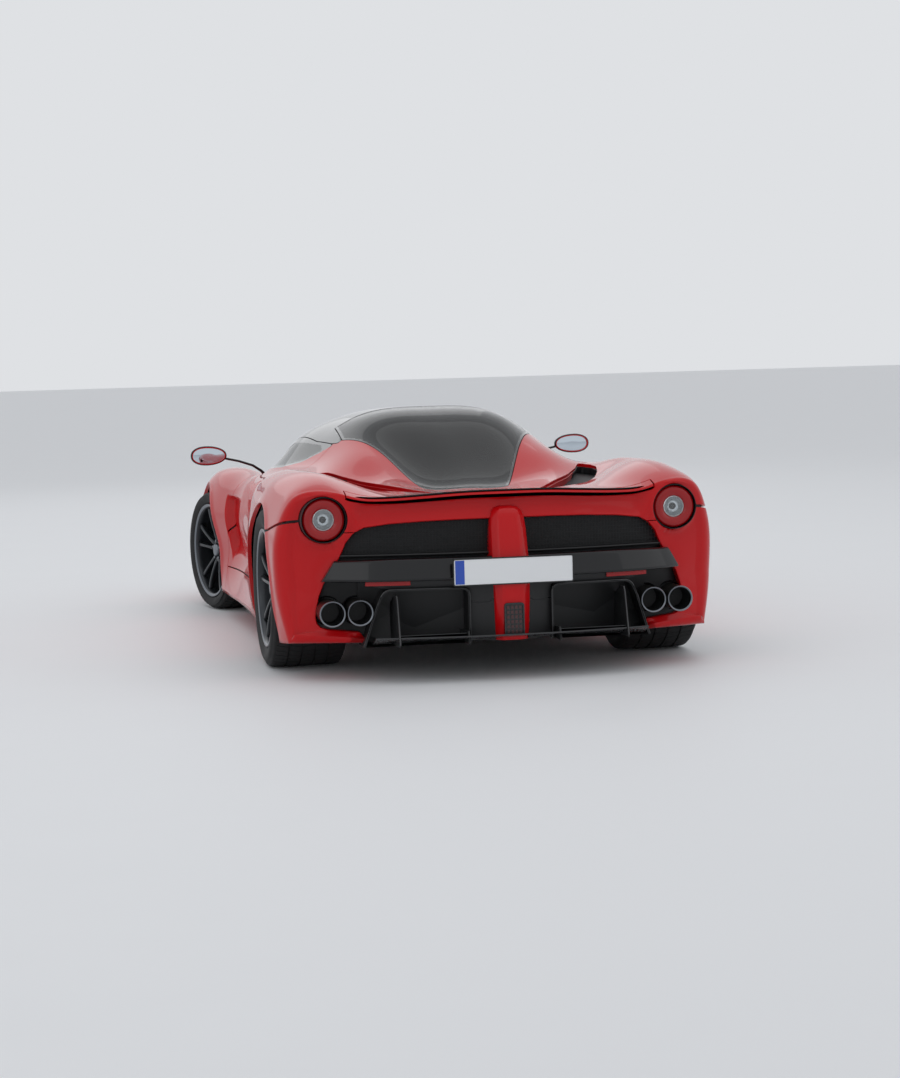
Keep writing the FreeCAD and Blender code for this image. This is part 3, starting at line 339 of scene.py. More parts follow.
# Half sections of the body in millimetres. Columns: station y, top centre z, then x and z of
# roof shoulder, window line, belt valley, inner crown, crown, shoulder, side, waist, sill
SECTIONS = ((-2351, 380, 70, 376, 100, 368, 125, 358, 140, 345, 150, 330, 160, 300, 165, 270, 165, 215, 150, 160),
    (-2200, 450, 200, 440, 300, 425, 380, 412, 440, 402, 490, 388, 540, 365, 570, 320, 575, 250, 560, 150), (-2000,
    520, 250, 510, 380, 492, 480, 480, 570, 488, 660, 495, 740, 465, 800, 390, 815, 290, 790, 140), (-1700, 600, 250,
    590, 380, 575, 490, 570, 590, 600, 700, 655, 812, 640, 910, 520, 930, 340, 900, 135), (-1450, 655, 260, 648, 390,
    632, 500, 628, 605, 680, 740, 742, 862, 712, 952, 555, 960, 330, 930, 132), (-1190, 705, 270, 700, 400, 684, 500,
    678, 615, 714, 750, 768, 880, 750, 968, 600, 965, 330, 940, 130), (-900, 775, 300, 765, 450, 735, 560, 708, 650,
    735, 755, 772, 868, 742, 948, 590, 935, 330, 925, 130), (-550, 960, 330, 925, 540, 850, 660, 770, 715, 756, 775,
    748, 840, 695, 885, 560, 865, 330, 915, 130), (-150, 1085, 330, 1064, 555, 975, 705, 822, 750, 790, 795, 765, 840,
    700, 875, 565, 855, 330, 905, 130), (250, 1116, 330, 1086, 530, 980, 700, 830, 760, 808, 815, 785, 860, 720, 895,
    580, 875, 340, 905, 130), (650, 1078, 310, 1048, 462, 970, 655, 842, 745, 828, 830, 820, 905, 755, 945, 610, 930,
    360, 920, 130), (1050, 870, 220, 862, 410, 900, 620, 838, 705, 838, 790, 868, 920, 812, 978, 650, 985, 380, 960,
    130), (1300, 768, 170, 766, 395, 822, 600, 806, 690, 836, 785, 880, 922, 824, 988, 655, 995, 385, 970, 132),
    (1460, 765, 170, 764, 370, 800, 570, 796, 660, 838, 780, 884, 922, 830, 992, 660, 996, 395, 975, 135), (1850, 780,
    190, 780, 340, 784, 500, 796, 640, 838, 765, 872, 895, 826, 975, 660, 985, 400, 956, 152), (2080, 790, 200, 790,
    350, 786, 500, 785, 620, 790, 730, 812, 850, 785, 920, 650, 932, 400, 888, 166), (2200, 797, 200, 795, 350, 786,
    500, 775, 600, 765, 690, 752, 760, 730, 820, 640, 842, 400, 800, 169),)
# Columns of the grid between two points of a section, from the centre line down to the floor
SPANS = (18, 18, 14, 9, 8, 10, 16, 20, 14, 12)
SILL_POINT = 9
FLOOR_SHARE = 0.7
ROW_STEP = 0.018
NOSE_Y, STRAIGHT_END = -2.351, 1.8
TAIL_CENTRE, TAIL_SIDE = 2.19, (0.93, 2.007)

# Rounding radius where the tail turns in, at each point of the section and at the floor point
TAIL_ROLL = (0.006, 0.006, 0.006, 0.008, 0.01, 0.012, 0.03, 0.07, 0.085, 0.045, 0.02)
NOSE_ROLL = (0.02, 0.02, 0.02, 0.02, 0.02, 0.02, 0.02, 0.02, 0.012, 0.004, 0.003)
# Where the tail's and the nose's face end at their openings: the point's number or a place between, x and z
TAIL_INNER = ((0, 0, 0.69), (1, 0.2, 0.689), (2, 0.35, 0.686), (3, 0.5, 0.678), (4, 0.61, 0.664), (5, 0.655, 0.64),
    (6, 0.69, 0.6), (7, 0.722, 0.53), (7.3, 0.75, 0.485), (7.7, 0.79, 0.415), (8, 0.809, 0.365), (8.4, 0.822, 0.305),
    (8.65, 0.825, 0.27), (8.8, 0.82, 0.247), (8.9, 0.808, 0.232), (9, 0.79, 0.223), (9.2, 0.765, 0.217),
    (10, 0.64, 0.206))
NOSE_INNER = ((0, 0, 0.29), (1, 0.055, 0.29), (2, 0.085, 0.289), (3, 0.105, 0.287), (4, 0.122, 0.283),
    (5, 0.132, 0.277), (6, 0.139, 0.267), (7, 0.142, 0.25), (8, 0.142, 0.212), (9, 0.134, 0.194), (10, 0.075, 0.19))

AXLES = {"front": (-1.191, 0.3208, 0.372), "rear": (1.459, 0.3575, 0.384)}
DOOR_SIDE = ((-705, 270), (-668, 420), (-610, 640), (-588, 780), (-588, 1300), (548, 1300), (560, 960), (612, 850),
    (745, 700), (775, 560), (775, 270))
DOOR_TOP = ((700, -588), (640, -430), (604, -300), (576, -120), (560, 100), (545, 300), (508, 530), (500, 660),
    (500, 900), (1200, 900), (1200, -900), (700, -900))
WINDOW = ((-400, 815), (-150, 822), (150, 842), (380, 875), (510, 925), (410, 946), (150, 948), (-100, 938),
    (-280, 885))
WINDSCREEN = ((0, -850), (300, -820), (470, -740), (535, -620), (530, -330), (512, -60), (340, -5), (0, 10))
COVER = ((0, 312), (455, 312), (466, 605), (330, 960), (196, 1326), (0, 1326))
# Black edge round the engine cover's glass
COVER_EDGE = 0.013
LID = ((0, -1930), (270, -1930), (330, -1700), (440, -1200), (455, -965), (0, -930))
ROOF = ((0, -930), (470, -900), (560, -800), (700, -588), (640, -430), (604, -300), (576, -120), (560, 100),
    (545, 300), (508, 530), (486, 606), (466, 605), (455, 312), (0, 312))
HEADLAMP = ((560, -2060), (700, -1990), (790, -1700), (770, -1640), (700, -1720), (560, -1960))
SLOT = ((635, 1000), (665, 1030), (668, 1120), (635, 1270), (585, 1420), (520, 1560), (440, 1680), (360, 1760),
    (270, 1810), (240, 1745), (315, 1600), (400, 1450), (490, 1300), (560, 1160), (605, 1030))
SCOOP = ((815, 430), (930, 400), (985, 560), (930, 690), (830, 640))
SIDE_INTAKE = ((230, 190), (640, 190), (700, 300), (560, 335), (250, 300))
BUMPER_LINE = -1.985
SKIRT_TOP = 0.267
# How far the band under the blade is pressed in
TAIL_HOLLOW = 0.034
LAMP = (0.78, 0.697)
LAMP_HOLE = 0.0995
# The blade's half width, its front edge on the centre line and how far that sweeps forward at its ends
BLADE_HALF, BLADE_FRONT, BLADE_SWEEP = 0.68, 2.1, 0.07
WAIST_LINE = (1.8, 0.655, 0.2)


def mirrored_outline(half):
    """Closed outline over both halves from the points of one half, in metres."""
    points = [(x * MM, y * MM) for x, y in half]
    return points + [(-x, y) for x, y in reversed(points) if x > 0]


def metres(points):
    return [(a * MM, b * MM) for a, b in points]


def inside(a, b, outline):
    """Distance to a closed outline, positive inside it."""
    nearest = np.full(a.shape, 1e9)
    crossings = np.zeros(a.shape, bool)
    for (a0, b0), (a1, b1) in zip(outline, outline[1:] + outline[:1]):
        run_a, run_b = a1 - a0, b1 - b0
        share = np.clip(((a - a0) * run_a + (b - b0) * run_b) / (run_a ** 2 + run_b ** 2), 0, 1)
        nearest = np.minimum(nearest, np.hypot(a - a0 - share * run_a, b - b0 - share * run_b))
        if b0 != b1:
            over = (b0 > b) != (b1 > b)
            crossings ^= over & (a < run_a * (b - b0) / run_b + a0)
    return np.where(crossings, nearest, -nearest)


def smooth_step(low, high, value):
    share = np.clip((value - low) / (high - low), 0, 1)
    return share * share * (3 - 2 * share)


def cubic_through(knots, values, at):
    """Natural cubic spline through values, whose first axis follows the knots, read at other places."""
    count = len(knots)
    step = np.diff(knots)
    system = np.zeros((count, count))
    right = np.zeros(values.shape)
    system[0, 0] = system[-1, -1] = 1
    for i in range(1, count - 1):
        system[i, i - 1:i + 2] = step[i - 1], 2 * (step[i - 1] + step[i]), step[i]
        right[i] = 6 * ((values[i + 1] - values[i]) / step[i] - (values[i] - values[i - 1]) / step[i - 1])
    bend = np.linalg.solve(system, right.reshape(count, -1)).reshape(values.shape)
    k = np.clip(np.searchsorted(knots, at) - 1, 0, count - 2)
    shape = (len(at),) + (1,) * (values.ndim - 1)
    width = step[k].reshape(shape)
    ahead = (at - knots[k]).reshape(shape)
    behind = width - ahead
    return (bend[k] * behind ** 3 + bend[k + 1] * ahead ** 3) / (6 * width) + \
        (values[k] / width - bend[k] * width / 6) * behind + \
        (values[k + 1] / width - bend[k + 1] * width / 6) * ahead


def section_curves(marks):
    """Smooth half sections through rows of marks: one column for each step of SPANS."""
    before = marks[:, 1:2] * [-1, 1]
    after = 2 * marks[:, -1:] - marks[:, -2:-1]
    path = np.concatenate([before, marks, after], axis=1)
    chord = np.linalg.norm(np.diff(path, axis=1), axis=2, keepdims=True)
    slope = np.diff(path, axis=1) / chord
    tangent = (slope[:, :-1] * chord[:, 1:] + slope[:, 1:] * chord[:, :-1]) / (chord[:, 1:] + chord[:, :-1])
    columns = []
    for k, steps in enumerate(SPANS):
        length = chord[:, k + 1]
        leave, arrive = tangent[:, k], tangent[:, k + 1]
        if k == SILL_POINT:
            leave = arrive = slope[:, k + 1]
        if k + 1 == SILL_POINT:
            arrive = slope[:, k + 1]
        for step in range(steps):
            s = step / steps
            columns.append((2 * s ** 3 - 3 * s ** 2 + 1) * marks[:, k] + (s ** 3 - 2 * s ** 2 + s) * length * leave
                + (3 * s ** 2 - 2 * s ** 3) * marks[:, k + 1] + (s ** 3 - s ** 2) * length * arrive)
    columns.append(marks[:, -1])
    return np.stack(columns, axis=1)


def along_columns(values):
    """Values given at the section's points, spread over the grid's columns."""
    marks = np.concatenate([[0], np.cumsum(SPANS)])
    columns = np.arange(marks[-1] + 1)
    values = np.asarray(values, float)
    if values.ndim == 1:
        return np.interp(columns, marks, values)
    places = np.interp(values[:, 0], np.arange(len(marks)), marks)
    return np.stack([np.interp(columns, places, values[:, k]) for k in (1, 2)], axis=1)


def tail_y(x):
    """The tail's arc in plan."""
    rise = TAIL_CENTRE - TAIL_SIDE[1]
    radius = (TAIL_SIDE[0] ** 2 + rise ** 2) / (2 * rise)
    return TAIL_CENTRE - (radius - np.sqrt(radius ** 2 - np.minimum(np.abs(x), 1.2) ** 2))


def relaxed(values, rounds, first, last):
    """Columns first to last of each row, evened out along the section."""
    for _ in range(rounds):
        padded = np.concatenate([values[:, 1:2] * ([-1, 1] if values.shape[2] == 2 else 1), values], axis=1)
        middle = (padded[:, :-2] + padded[:, 2:]) / 2
        values[:, first:last] += 0.5 * (middle[:, first:last] - values[:, first:last])
    return values


def rounding(edge, ahead, radius, inner, direction, rows, face_rows, depth, hollow=0.0):
    """Rows that turn a section's edge in over its radius and run on to the inner outline and into the opening.

    The hollow is how deep the face is pressed in between the two outlines.
    """
    inward = np.gradient(edge[:, [0, 2]], axis=0)
    inward = np.stack([-inward[:, 1], inward[:, 0]], axis=1)
    inward /= -np.linalg.norm(inward, axis=1, keepdims=True)
    inward[0] = (0, -1)
    turned = []
    for k in range(1, rows + 1):
        angle = k / rows * pi / 2
        point = edge.copy()
        point[:, 1] += direction * radius * sin(angle)
        point[:, [0, 2]] += inward * (radius * (1 - cos(angle)))[:, None]
        turned.append(point)
    start = turned[-1]
    for k in range(1, face_rows + 1):
        share = k / face_rows
        point = start.copy()
        point[:, [0, 2]] = start[:, [0, 2]] * (1 - share) + inner * share
        point[:, 1] = start[:, 1] * (1 - share) + share * ahead(inner) - hollow * sin(pi * share ** 0.6)
        turned.append(point)
    base = turned[-1]
    for lift, back in ((0.003, 0.002), (0.006, 0.008), (0.006, depth)):
        point = base.copy()
        point[:, [0, 2]] = inner + inward * lift
        point[:, 1] = base[:, 1] - direction * back
        turned.append(point)
    return turned


def body_half():
    """Grid of the body's left half, rows from the nose to the tail, columns from the centre line to the floor."""
    table = np.array(SECTIONS, float) * MM
    marks = np.zeros((len(table), 11, 2))
    marks[:, 0, 1] = table[:, 1]
    marks[:, 1:10] = table[:, 2:].reshape(-1, 9, 2)
    marks[:, 10] = marks[:, 9] * [FLOOR_SHARE, 1] - [0, 0.004]
    knots = np.arange(NOSE_Y, 2.2501, 0.02)
    dense = cubic_through(table[:, 0], marks, knots)
    curves = section_curves(dense)
    sill = sum(SPANS[:SILL_POINT])
    curves = relaxed(curves, 8, 1, sill - 3)
    count = curves.shape[1]
    nose_roll = along_columns(NOSE_ROLL)
    rows = []
    stations = np.linspace(NOSE_Y + nose_roll[0], STRAIGHT_END, int((STRAIGHT_END - NOSE_Y) / ROW_STEP))
    stations = np.unique(np.concatenate([stations, np.arange(-0.716, -0.6, 0.004)]))
    straight = cubic_through(knots, curves, stations)
    for y, row in zip(stations, straight):
        rows.append(np.column_stack([row[:, 0], np.full(count, y), row[:, 1]]))
    roll = along_columns(TAIL_ROLL)
    share_rows = 18
    late = knots > 1.4
    x_end = curves[-4, :, 0]
    goal = tail_y(x_end)
    for _ in range(12):
        x_end = np.array([np.interp(goal[j] - roll[j], knots, curves[:, j, 0]) for j in range(count)])
        goal = tail_y(x_end)
    for k in range(1, share_rows + 1):
        y = STRAIGHT_END + (goal - roll - STRAIGHT_END) * k / share_rows
        point = np.stack([cubic_through(knots[late], curves[late, j], y[j:j + 1])[0] for j in range(count)])
        rows.append(np.column_stack([point[:, 0], y, point[:, 1]]))
    inner = along_columns(TAIL_INNER)
    hollow = TAIL_HOLLOW * (1 - smooth_step(0.58, 0.69, rows[-1][:, 0]))
    rows += rounding(rows[-1], lambda p: tail_y(p[:, 0]) - 0.012, roll, inner, 1, 7, 12, 0.05, hollow)
    nose_inner = along_columns(NOSE_INNER)
    nose = rounding(rows[0], lambda p: np.full(len(p), NOSE_Y + 0.002), nose_roll, nose_inner, -1, 5, 4, 0.04)
    rows = nose[::-1] + rows
    grid = np.stack(rows)
    grid[:, 0, 0] = 0
    return sculpted(grid)


def sculpted(grid):
    """Arch lips, the door's channel and the hollow behind the front wheel, pressed into the plain form."""
    x, y, z = grid[..., 0], grid[..., 1], grid[..., 2]
    columns = np.arange(grid.shape[1])
    crown, side = (sum(SPANS[:k]) for k in (5, 7))
    flank = smooth_step(crown, side, columns)[None, :] * (columns < sum(SPANS[:SILL_POINT]) + 1)[None, :]
    for axle, height, arch in AXLES.values():
        away = np.hypot(y - axle, z - height) - arch
        x += 0.007 * np.exp(-(away / 0.022) ** 2) * flank * (z > 0.15)
    channel = smooth_step(-0.25, 0.8, y) * (1 - smooth_step(0.84, 0.98, y))
    x -= 0.045 * channel * np.exp(-((z - 0.52) / 0.1) ** 2) * flank
    lower = smooth_step(-0.6, -0.2, y) * (1 - smooth_step(0.72, 0.98, y))
    x -= 0.016 * lower * np.exp(-((z - 0.335) / 0.05) ** 2) * flank
    leaf_front = -0.7 + (0.655 - z) * 0.2
    behind = smooth_step(0.0, 0.02, y - leaf_front) * (1 - smooth_step(0.05, 0.36, y - leaf_front))
    tall = smooth_step(0.3, 0.42, z) * (1 - smooth_step(0.622, 0.654, z))
    x -= 0.05 * behind * tall * flank
    away = np.hypot(x - LAMP[0], z - LAMP[1])
    lower = 0.5 + 0.5 * smooth_step(-0.05, 0.08, LAMP[1] - z)
    y += 0.009 * lower * np.exp(-((away - LAMP_HOLE - 0.01) / 0.008) ** 2) * (y > 1.95)
    return grid


def grid_normals(grid):
    across = np.gradient(grid, axis=1)
    across[:, 0] = grid[:, 1] * [1, 0, 0] - grid[:, 0] * [1, 0, 0]
    along = np.gradient(grid, axis=0)
    normal = np.cross(across, along)
    length = np.linalg.norm(normal, axis=2, keepdims=True)
    normal = normal / np.maximum(length, 1e-12)
    normal[:, 0, 0] = 0
    return normal / np.maximum(np.linalg.norm(normal, axis=2, keepdims=True), 1e-12)


class Shell:
    """The body's grid with its normals and the fields that its panels are cut along."""

    def __init__(self):
        half = body_half()
        normals = grid_normals(half)
        flip = np.array([-1, 1, 1])
        self.points = np.concatenate([half[:, :0:-1] * flip, half], axis=1)
        self.normals = np.concatenate([normals[:, :0:-1] * flip, normals], axis=1)
        self.centre = half.shape[1] - 1
        x, y, z = (self.points[..., k] for k in range(3))
        wide = np.abs(x)
        rows, columns = x.shape
        column = np.abs(np.arange(columns) - self.centre)[None, :] * np.ones((rows, 1))
        flank = column - sum(SPANS[:5])
        far = np.full(x.shape, -1.0)
        f = {}
        f["door"] = np.minimum(inside(y, z, metres(DOOR_SIDE)), inside(wide, y, metres(DOOR_TOP)))
        f["window"] = np.where(flank > -30, inside(y, z, metres(WINDOW)), far)
        f["screen"] = inside(x, y, mirrored_outline(WINDSCREEN))
        f["cover"] = inside(x, y, mirrored_outline(COVER))
        f["cover_glass"] = f["cover"] - COVER_EDGE
        f["lid"] = inside(x, y, mirrored_outline(LID))
        f["roof"] = np.minimum(inside(x, y, mirrored_outline(ROOF)), z - 0.7)
        f["headlamp"] = np.where(z > 0.38, inside(wide, y, metres(HEADLAMP)), far)
        f["slot"] = np.where(z > 0.7, inside(wide, y, metres(SLOT)), far)
        f["scoop"] = np.where(flank > 0, inside(y, z, metres(SCOOP)), far)
        nose = np.where(y < -1.95, 1.0, -1.0)
        f["side_intake"] = np.minimum(inside(wide, z, metres(SIDE_INTAKE)), nose)
        arches = far.copy()
        for axle, height, arch in AXLES.values():
            away = np.where(z < height, np.abs(y - axle), np.hypot(y - axle, z - height))
            arches = np.maximum(arches, arch - away)
        f["arch"] = np.where((flank > 0) & (wide > 0.45), arches, far)
        f["lamp"] = np.where(y > 1.9, LAMP_HOLE - np.hypot(wide - LAMP[0], z - LAMP[1]), far)
        waist_y, waist_z, waist_slope = WAIST_LINE
        outboard = smooth_step(0.72, 0.84, wide)
        waist = np.minimum(waist_z + (y - waist_y) * waist_slope, 0.7) * outboard + 0.64 * (1 - outboard)
        f["above_waist"] = z - waist
        f["x"], f["y"], f["z"], f["wide"] = x, y, z, wide
        f["column"] = column
        f["row"] = np.arange(rows)[:, None] * np.ones((1, columns))
        f["tail_row"] = f["row"] - (rows - 22.5)
        self.fields = f

    def panel(self, name, keep, thickness, finishes, replaced=(), sides="both", inner_finish=1, sink=0.0,
            body="root"):
        """A piece cut from the grid where every field in keep is positive, with its thickness inwards."""
        fields = [np.asarray(k, float) for k in keep]
        depth = np.broadcast_to(np.asarray(thickness, float), self.points.shape[:2])
        data = np.dstack([self.points - self.normals * sink, self.normals, depth] + fields)
        if sides != "both":
            data = data[:, self.centre:]
        rows, columns, width = data.shape
        data = data.reshape(-1, width)
        index = np.arange(rows * columns).reshape(rows, columns)
        quads = np.stack([index[:-1, :-1], index[:-1, 1:], index[1:, 1:], index[1:, :-1]], axis=-1).reshape(-1, 4)
        data, faces = clipped(data, quads, range(7, width))
        points, normals, depth = data[:, :3], data[:, 3:6], data[:, 6]
        normals = normals / np.maximum(np.linalg.norm(normals, axis=1, keepdims=True), 1e-9)
        made = []
        for side in {"both": (1,), "pair": (1, -1), "left": (1,), "right": (-1,)}[sides]:
            flip = np.array([side, 1, 1])
            made.append((points * flip, normals * flip, [f if side > 0 else f[::-1] for f in faces]))
        return walled_piece(name, made, depth, body, finishes, replaced, inner_finish)


def clipped(data, quads, columns):
    """The part of the quads where every named column is positive; new points lie on the zero lines."""
    rows = [data]
    count = len(data)
    polygons = []
    for column in columns:
        table = np.concatenate(rows) if len(rows) > 1 else rows[0]
        rows = [table]
        value = table[:, column]
        signs = value[quads] >= 0
        whole = signs.all(axis=1)
        part = signs.any(axis=1) & ~whole
        pending = [tuple(q) for q in quads[part]] + polygons
        quads = quads[whole]
        polygons = []
        fresh = []
        known = {}
        for face in pending:
            kept = []
            for a, b in zip(face, face[1:] + face[:1]):
                va, vb = value[a], value[b]
                if va >= 0:
                    kept.append(a)
                if (va >= 0) != (vb >= 0):
                    key = (a, b) if a < b else (b, a)
                    if key not in known:
                        known[key] = count + len(fresh)
                        fresh.append(table[a] + (table[b] - table[a]) * (va / (va - vb)))
                    kept.append(known[key])
            kept = [v for k, v in enumerate(kept) if v != kept[k - 1]]
            if len(kept) > 2:
                polygons.append(tuple(kept))
        if fresh:
            rows.append(np.array(fresh))
            count += len(fresh)
    table = np.concatenate(rows) if len(rows) > 1 else rows[0]
    faces = [tuple(int(v) for v in q) for q in quads] + [tuple(int(v) for v in p) for p in polygons]
    used = np.unique(np.fromiter((v for f in faces for v in f), int))
    place = np.full(len(table), -1)
    place[used] = np.arange(len(used))
    return table[used], [tuple(int(place[v]) for v in f) for f in faces]


EDGE_ROLL = 0.0022


def walled_piece(name, parts, depth, body, finishes, replaced, inner_finish):
    """Joins outer skins with their inner faces and rims into one piece with exact normals."""
    points, loops, faces, slots = [], [], [], []
    for outer, normals, outer_faces in parts:
        base = len(points)
        count = len(outer)
        inner = outer - normals * depth[:, None]
        edges = {}
        for face in outer_faces:
            for a, b in zip(face, face[1:] + face[:1]):
                edges[(a, b)] = edges.get((a, b), 0) + 1
        border = [(a, b) for a, b in edges if (b, a) not in edges]
        outward = np.zeros_like(outer)
        for a, b in border:
            way = outer[b] - outer[a]
            side = np.cross(way, normals[a] + normals[b])
            length = np.linalg.norm(side)
            if length > 1e-9:
                outward[a] += side / length
                outward[b] += side / length
        size = np.linalg.norm(outward, axis=1, keepdims=True)
        outward = np.where(size > 1e-6, outward / np.maximum(size, 1e-9), 0)
        rim = {v for edge in border for v in edge}
        rim_index = {v: base + 2 * count + k for k, v in enumerate(sorted(rim))}
        points += [tuple(p) for p in outer] + [tuple(p) for p in inner]
        points += [tuple(outer[v] - normals[v] * min(EDGE_ROLL, depth[v] / 3) + outward[v] * EDGE_ROLL / 2)
            for v in sorted(rim)]
        for face in outer_faces:
            faces.append(tuple(base + v for v in face))
            loops += [tuple(normals[v]) for v in face]
            slots.append(0)
            faces.append(tuple(base + count + v for v in reversed(face)))
            loops += [tuple(-normals[v]) for v in reversed(face)]
            slots.append(inner_finish)
        for a, b in border:
            faces.append((base + b, base + a, rim_index[a], rim_index[b]))
            turned = {v: tuple(outward[v]) for v in (a, b)}
            loops += [tuple(normals[b]), tuple(normals[a]), turned[a], turned[b]]
            slots.append(0)
            faces.append((rim_index[b], rim_index[a], base + count + a, base + count + b))
            loops += [turned[b], turned[a], turned[a], turned[b]]
            slots.append(0)
    mesh = bpy.data.meshes.new(name)
    mesh.from_pydata(points, [], faces)
    mesh.polygons.foreach_set("use_smooth", [True] * len(faces))
    if len(finishes) > 1:
        mesh.polygons.foreach_set("material_index", slots)
    mesh.normals_split_custom_set(loops)
    obj = linked(name, mesh)
    return place_piece(obj, finishes, replaced, body=body)


SHELL = Shell()


def cut(*names):
    """Fields that keep a panel clear of named regions by half a shut line."""
    half = sizes().shut_line / 2
    return [-SHELL.fields[name] - half for name in names]


def within(*names):
    half = sizes().shut_line / 2
    return [SHELL.fields[name] - half for name in names]


class Parts:
    """Vertices and faces gathered into one piece; each face carries the number of its finish."""

    def __init__(self):
        self.points, self.faces, self.slots = [], [], []

    def add(self, points, faces, slot=0, place=None):
        base = len(self.points)
        if place is not None:
            points = [place @ Vector(p) for p in points]
        self.points += [tuple(p) for p in points]
        self.faces += [tuple(base + v for v in f) for f in faces]
        self.slots += [slot] * len(faces)
        return self

    def turned(self, profile, place=None, slot=0, steps=64, closed=True, slots=None):
        """A profile of axial, radial pairs turned about the X axis of its place."""
        count = len(profile)
        points = []
        for k in range(steps):
            c, s = cos(k / steps * TAU), sin(k / steps * TAU)
            points += [(a, r * c, r * s) for a, r in profile]
        runs = range(count if closed else count - 1)
        for j in runs:
            after = (j + 1) % count
            ring = [(k * count + j, k * count + after, (k + 1) % steps * count + after, (k + 1) % steps * count + j)
                for k in range(steps)]
            if j == 0:
                self.add(points, ring, slots[j] if slots else slot, place)
                base = len(self.points) - len(points)
            else:
                self.faces += [tuple(base + v for v in f) for f in ring]
                self.slots += [slots[j] if slots else slot] * steps
        if not closed:
            for j in (0, count - 1):
                if profile[j][1] > 1e-6:
                    self.faces.append(tuple(base + k * count + j for k in range(steps)))
                    self.slots.append(slots[min(j, count - 2)] if slots else slot)
        return self

    def prism(self, outline, low, high, axis="y", slot=0, place=None):
        """A prism along an axis; the outline's pairs are the other two axes in x, y, z order."""
        spot = {"x": lambda a, b, t: (t, a, b), "y": lambda a, b, t: (a, t, b), "z": lambda a, b, t: (a, b, t)}[axis]
        count = len(outline)
        points = [spot(a, b, low) for a, b in outline] + [spot(a, b, high) for a, b in outline]
        faces = [tuple(range(count)), tuple(range(2 * count - 1, count - 1, -1))]
        faces += [(k, k + count, (k + 1) % count + count, (k + 1) % count) for k in range(count)]
        return self.add(points, faces, slot, place)

    def box(self, low, high, slot=0, place=None):
        outline = [(low[0], low[2]), (high[0], low[2]), (high[0], high[2]), (low[0], high[2])]
        return self.prism(outline, low[1], high[1], "y", slot, place)

    def lofted(self, rings, slot=0, place=None, capped=True, round_path=False):
        """Skin over closed rings of equal length."""
        count = len(rings[0])
        points = [p for ring in rings for p in ring]
        faces = []
        last = len(rings) if round_path else len(rings) - 1
        for j in range(last):
            a, b = j * count, (j + 1) % len(rings) * count
            faces += [(a + k, a + (k + 1) % count, b + (k + 1) % count, b + k) for k in range(count)]
        if capped and not round_path:
            faces += [tuple(range(count - 1, -1, -1)), tuple(range((len(rings) - 1) * count, len(rings) * count))]
        return self.add(points, faces, slot, place)

    def tube(self, path, radius, slot=0, sides=12, place=None, closed=False, flat=1.0):
        """A round or flattened bar along a path."""
        path = [Vector(p) for p in path]
        rings = []
        count = len(path)
        for k, point in enumerate(path):
            before = path[k - 1] if k or closed else path[0]
            after = path[(k + 1) % count] if k < count - 1 or closed else path[-1]
            way = (after - before).normalized()
            up = Vector((0, 0, 1)) if abs(way.z) < 0.9 else Vector((0, 1, 0))
            side = way.cross(up).normalized()
            over = side.cross(way)
            size = radius[k] if isinstance(radius, (list, tuple)) else radius
            rings.append([point + side * size * cos(a) + over * size * flat * sin(a)
                for a in (n / sides * TAU for n in range(sides))])
        return self.lofted(rings, slot, place, not closed, closed)

    def both(self):
        """Adds the mirror image of everything so far."""
        flip = Matrix.Scale(-1, 4, (1, 0, 0))
        count = len(self.points)
        self.points += [tuple(flip @ Vector(p)) for p in self.points]
        self.faces += [tuple(v + count for v in reversed(f)) for f in self.faces]
        self.slots += list(self.slots)
        return self

    def mesh(self, name, bevel=0.0, segments=2, smooth=35, outward=True):
        mesh = bpy.data.meshes.new(name)
        mesh.from_pydata(self.points, [], self.faces)
        mesh.polygons.foreach_set("material_index", self.slots)
        shape = bmesh.new()
        shape.from_mesh(mesh)
        bmesh.ops.remove_doubles(shape, verts=shape.verts, dist=1e-6)
        if outward:
            bmesh.ops.recalc_face_normals(shape, faces=shape.faces)
        if bevel:
            sharp = [e for e in shape.edges if len(e.link_faces) == 2 and e.calc_face_angle() > radians(28)]
            bmesh.ops.bevel(shape, geom=sharp, offset=bevel, segments=segments, profile=0.5, affect="EDGES",
                clamp_overlap=True)
        shape.to_mesh(mesh)
        shape.free()
        mesh.polygons.foreach_set("use_smooth", [True] * len(mesh.polygons))
        mesh.set_sharp_from_angle(angle=radians(smooth))
        return mesh

    def piece(self, name, finishes, replaced=(), bevel=0.0, segments=2, smooth=35, outward=True, body="root"):
        obj = linked(name, self.mesh(name, bevel, segments, smooth, outward))
        if bevel:
            even = obj.modifiers.new("even", "WEIGHTED_NORMAL")
            even.keep_sharp = True
            settled(obj)
        return place_piece(obj, finishes, replaced, body=body)


def settled(obj):
    """Applies an object's modifiers to its mesh."""
    depsgraph = bpy.context.evaluated_depsgraph_get()
    mesh = bpy.data.meshes.new_from_object(obj.evaluated_get(depsgraph), depsgraph=depsgraph)
    obj.modifiers.clear()
    old = obj.data
    obj.data = mesh
    bpy.data.meshes.remove(old)
    mesh.name = obj.name


def axis_place(centre, along):
    """Matrix that puts the X axis along a direction through a centre."""
    turn = Vector((1, 0, 0)).rotation_difference(Vector(along)).to_matrix().to_4x4()
    return Matrix.Translation(centre) @ turn


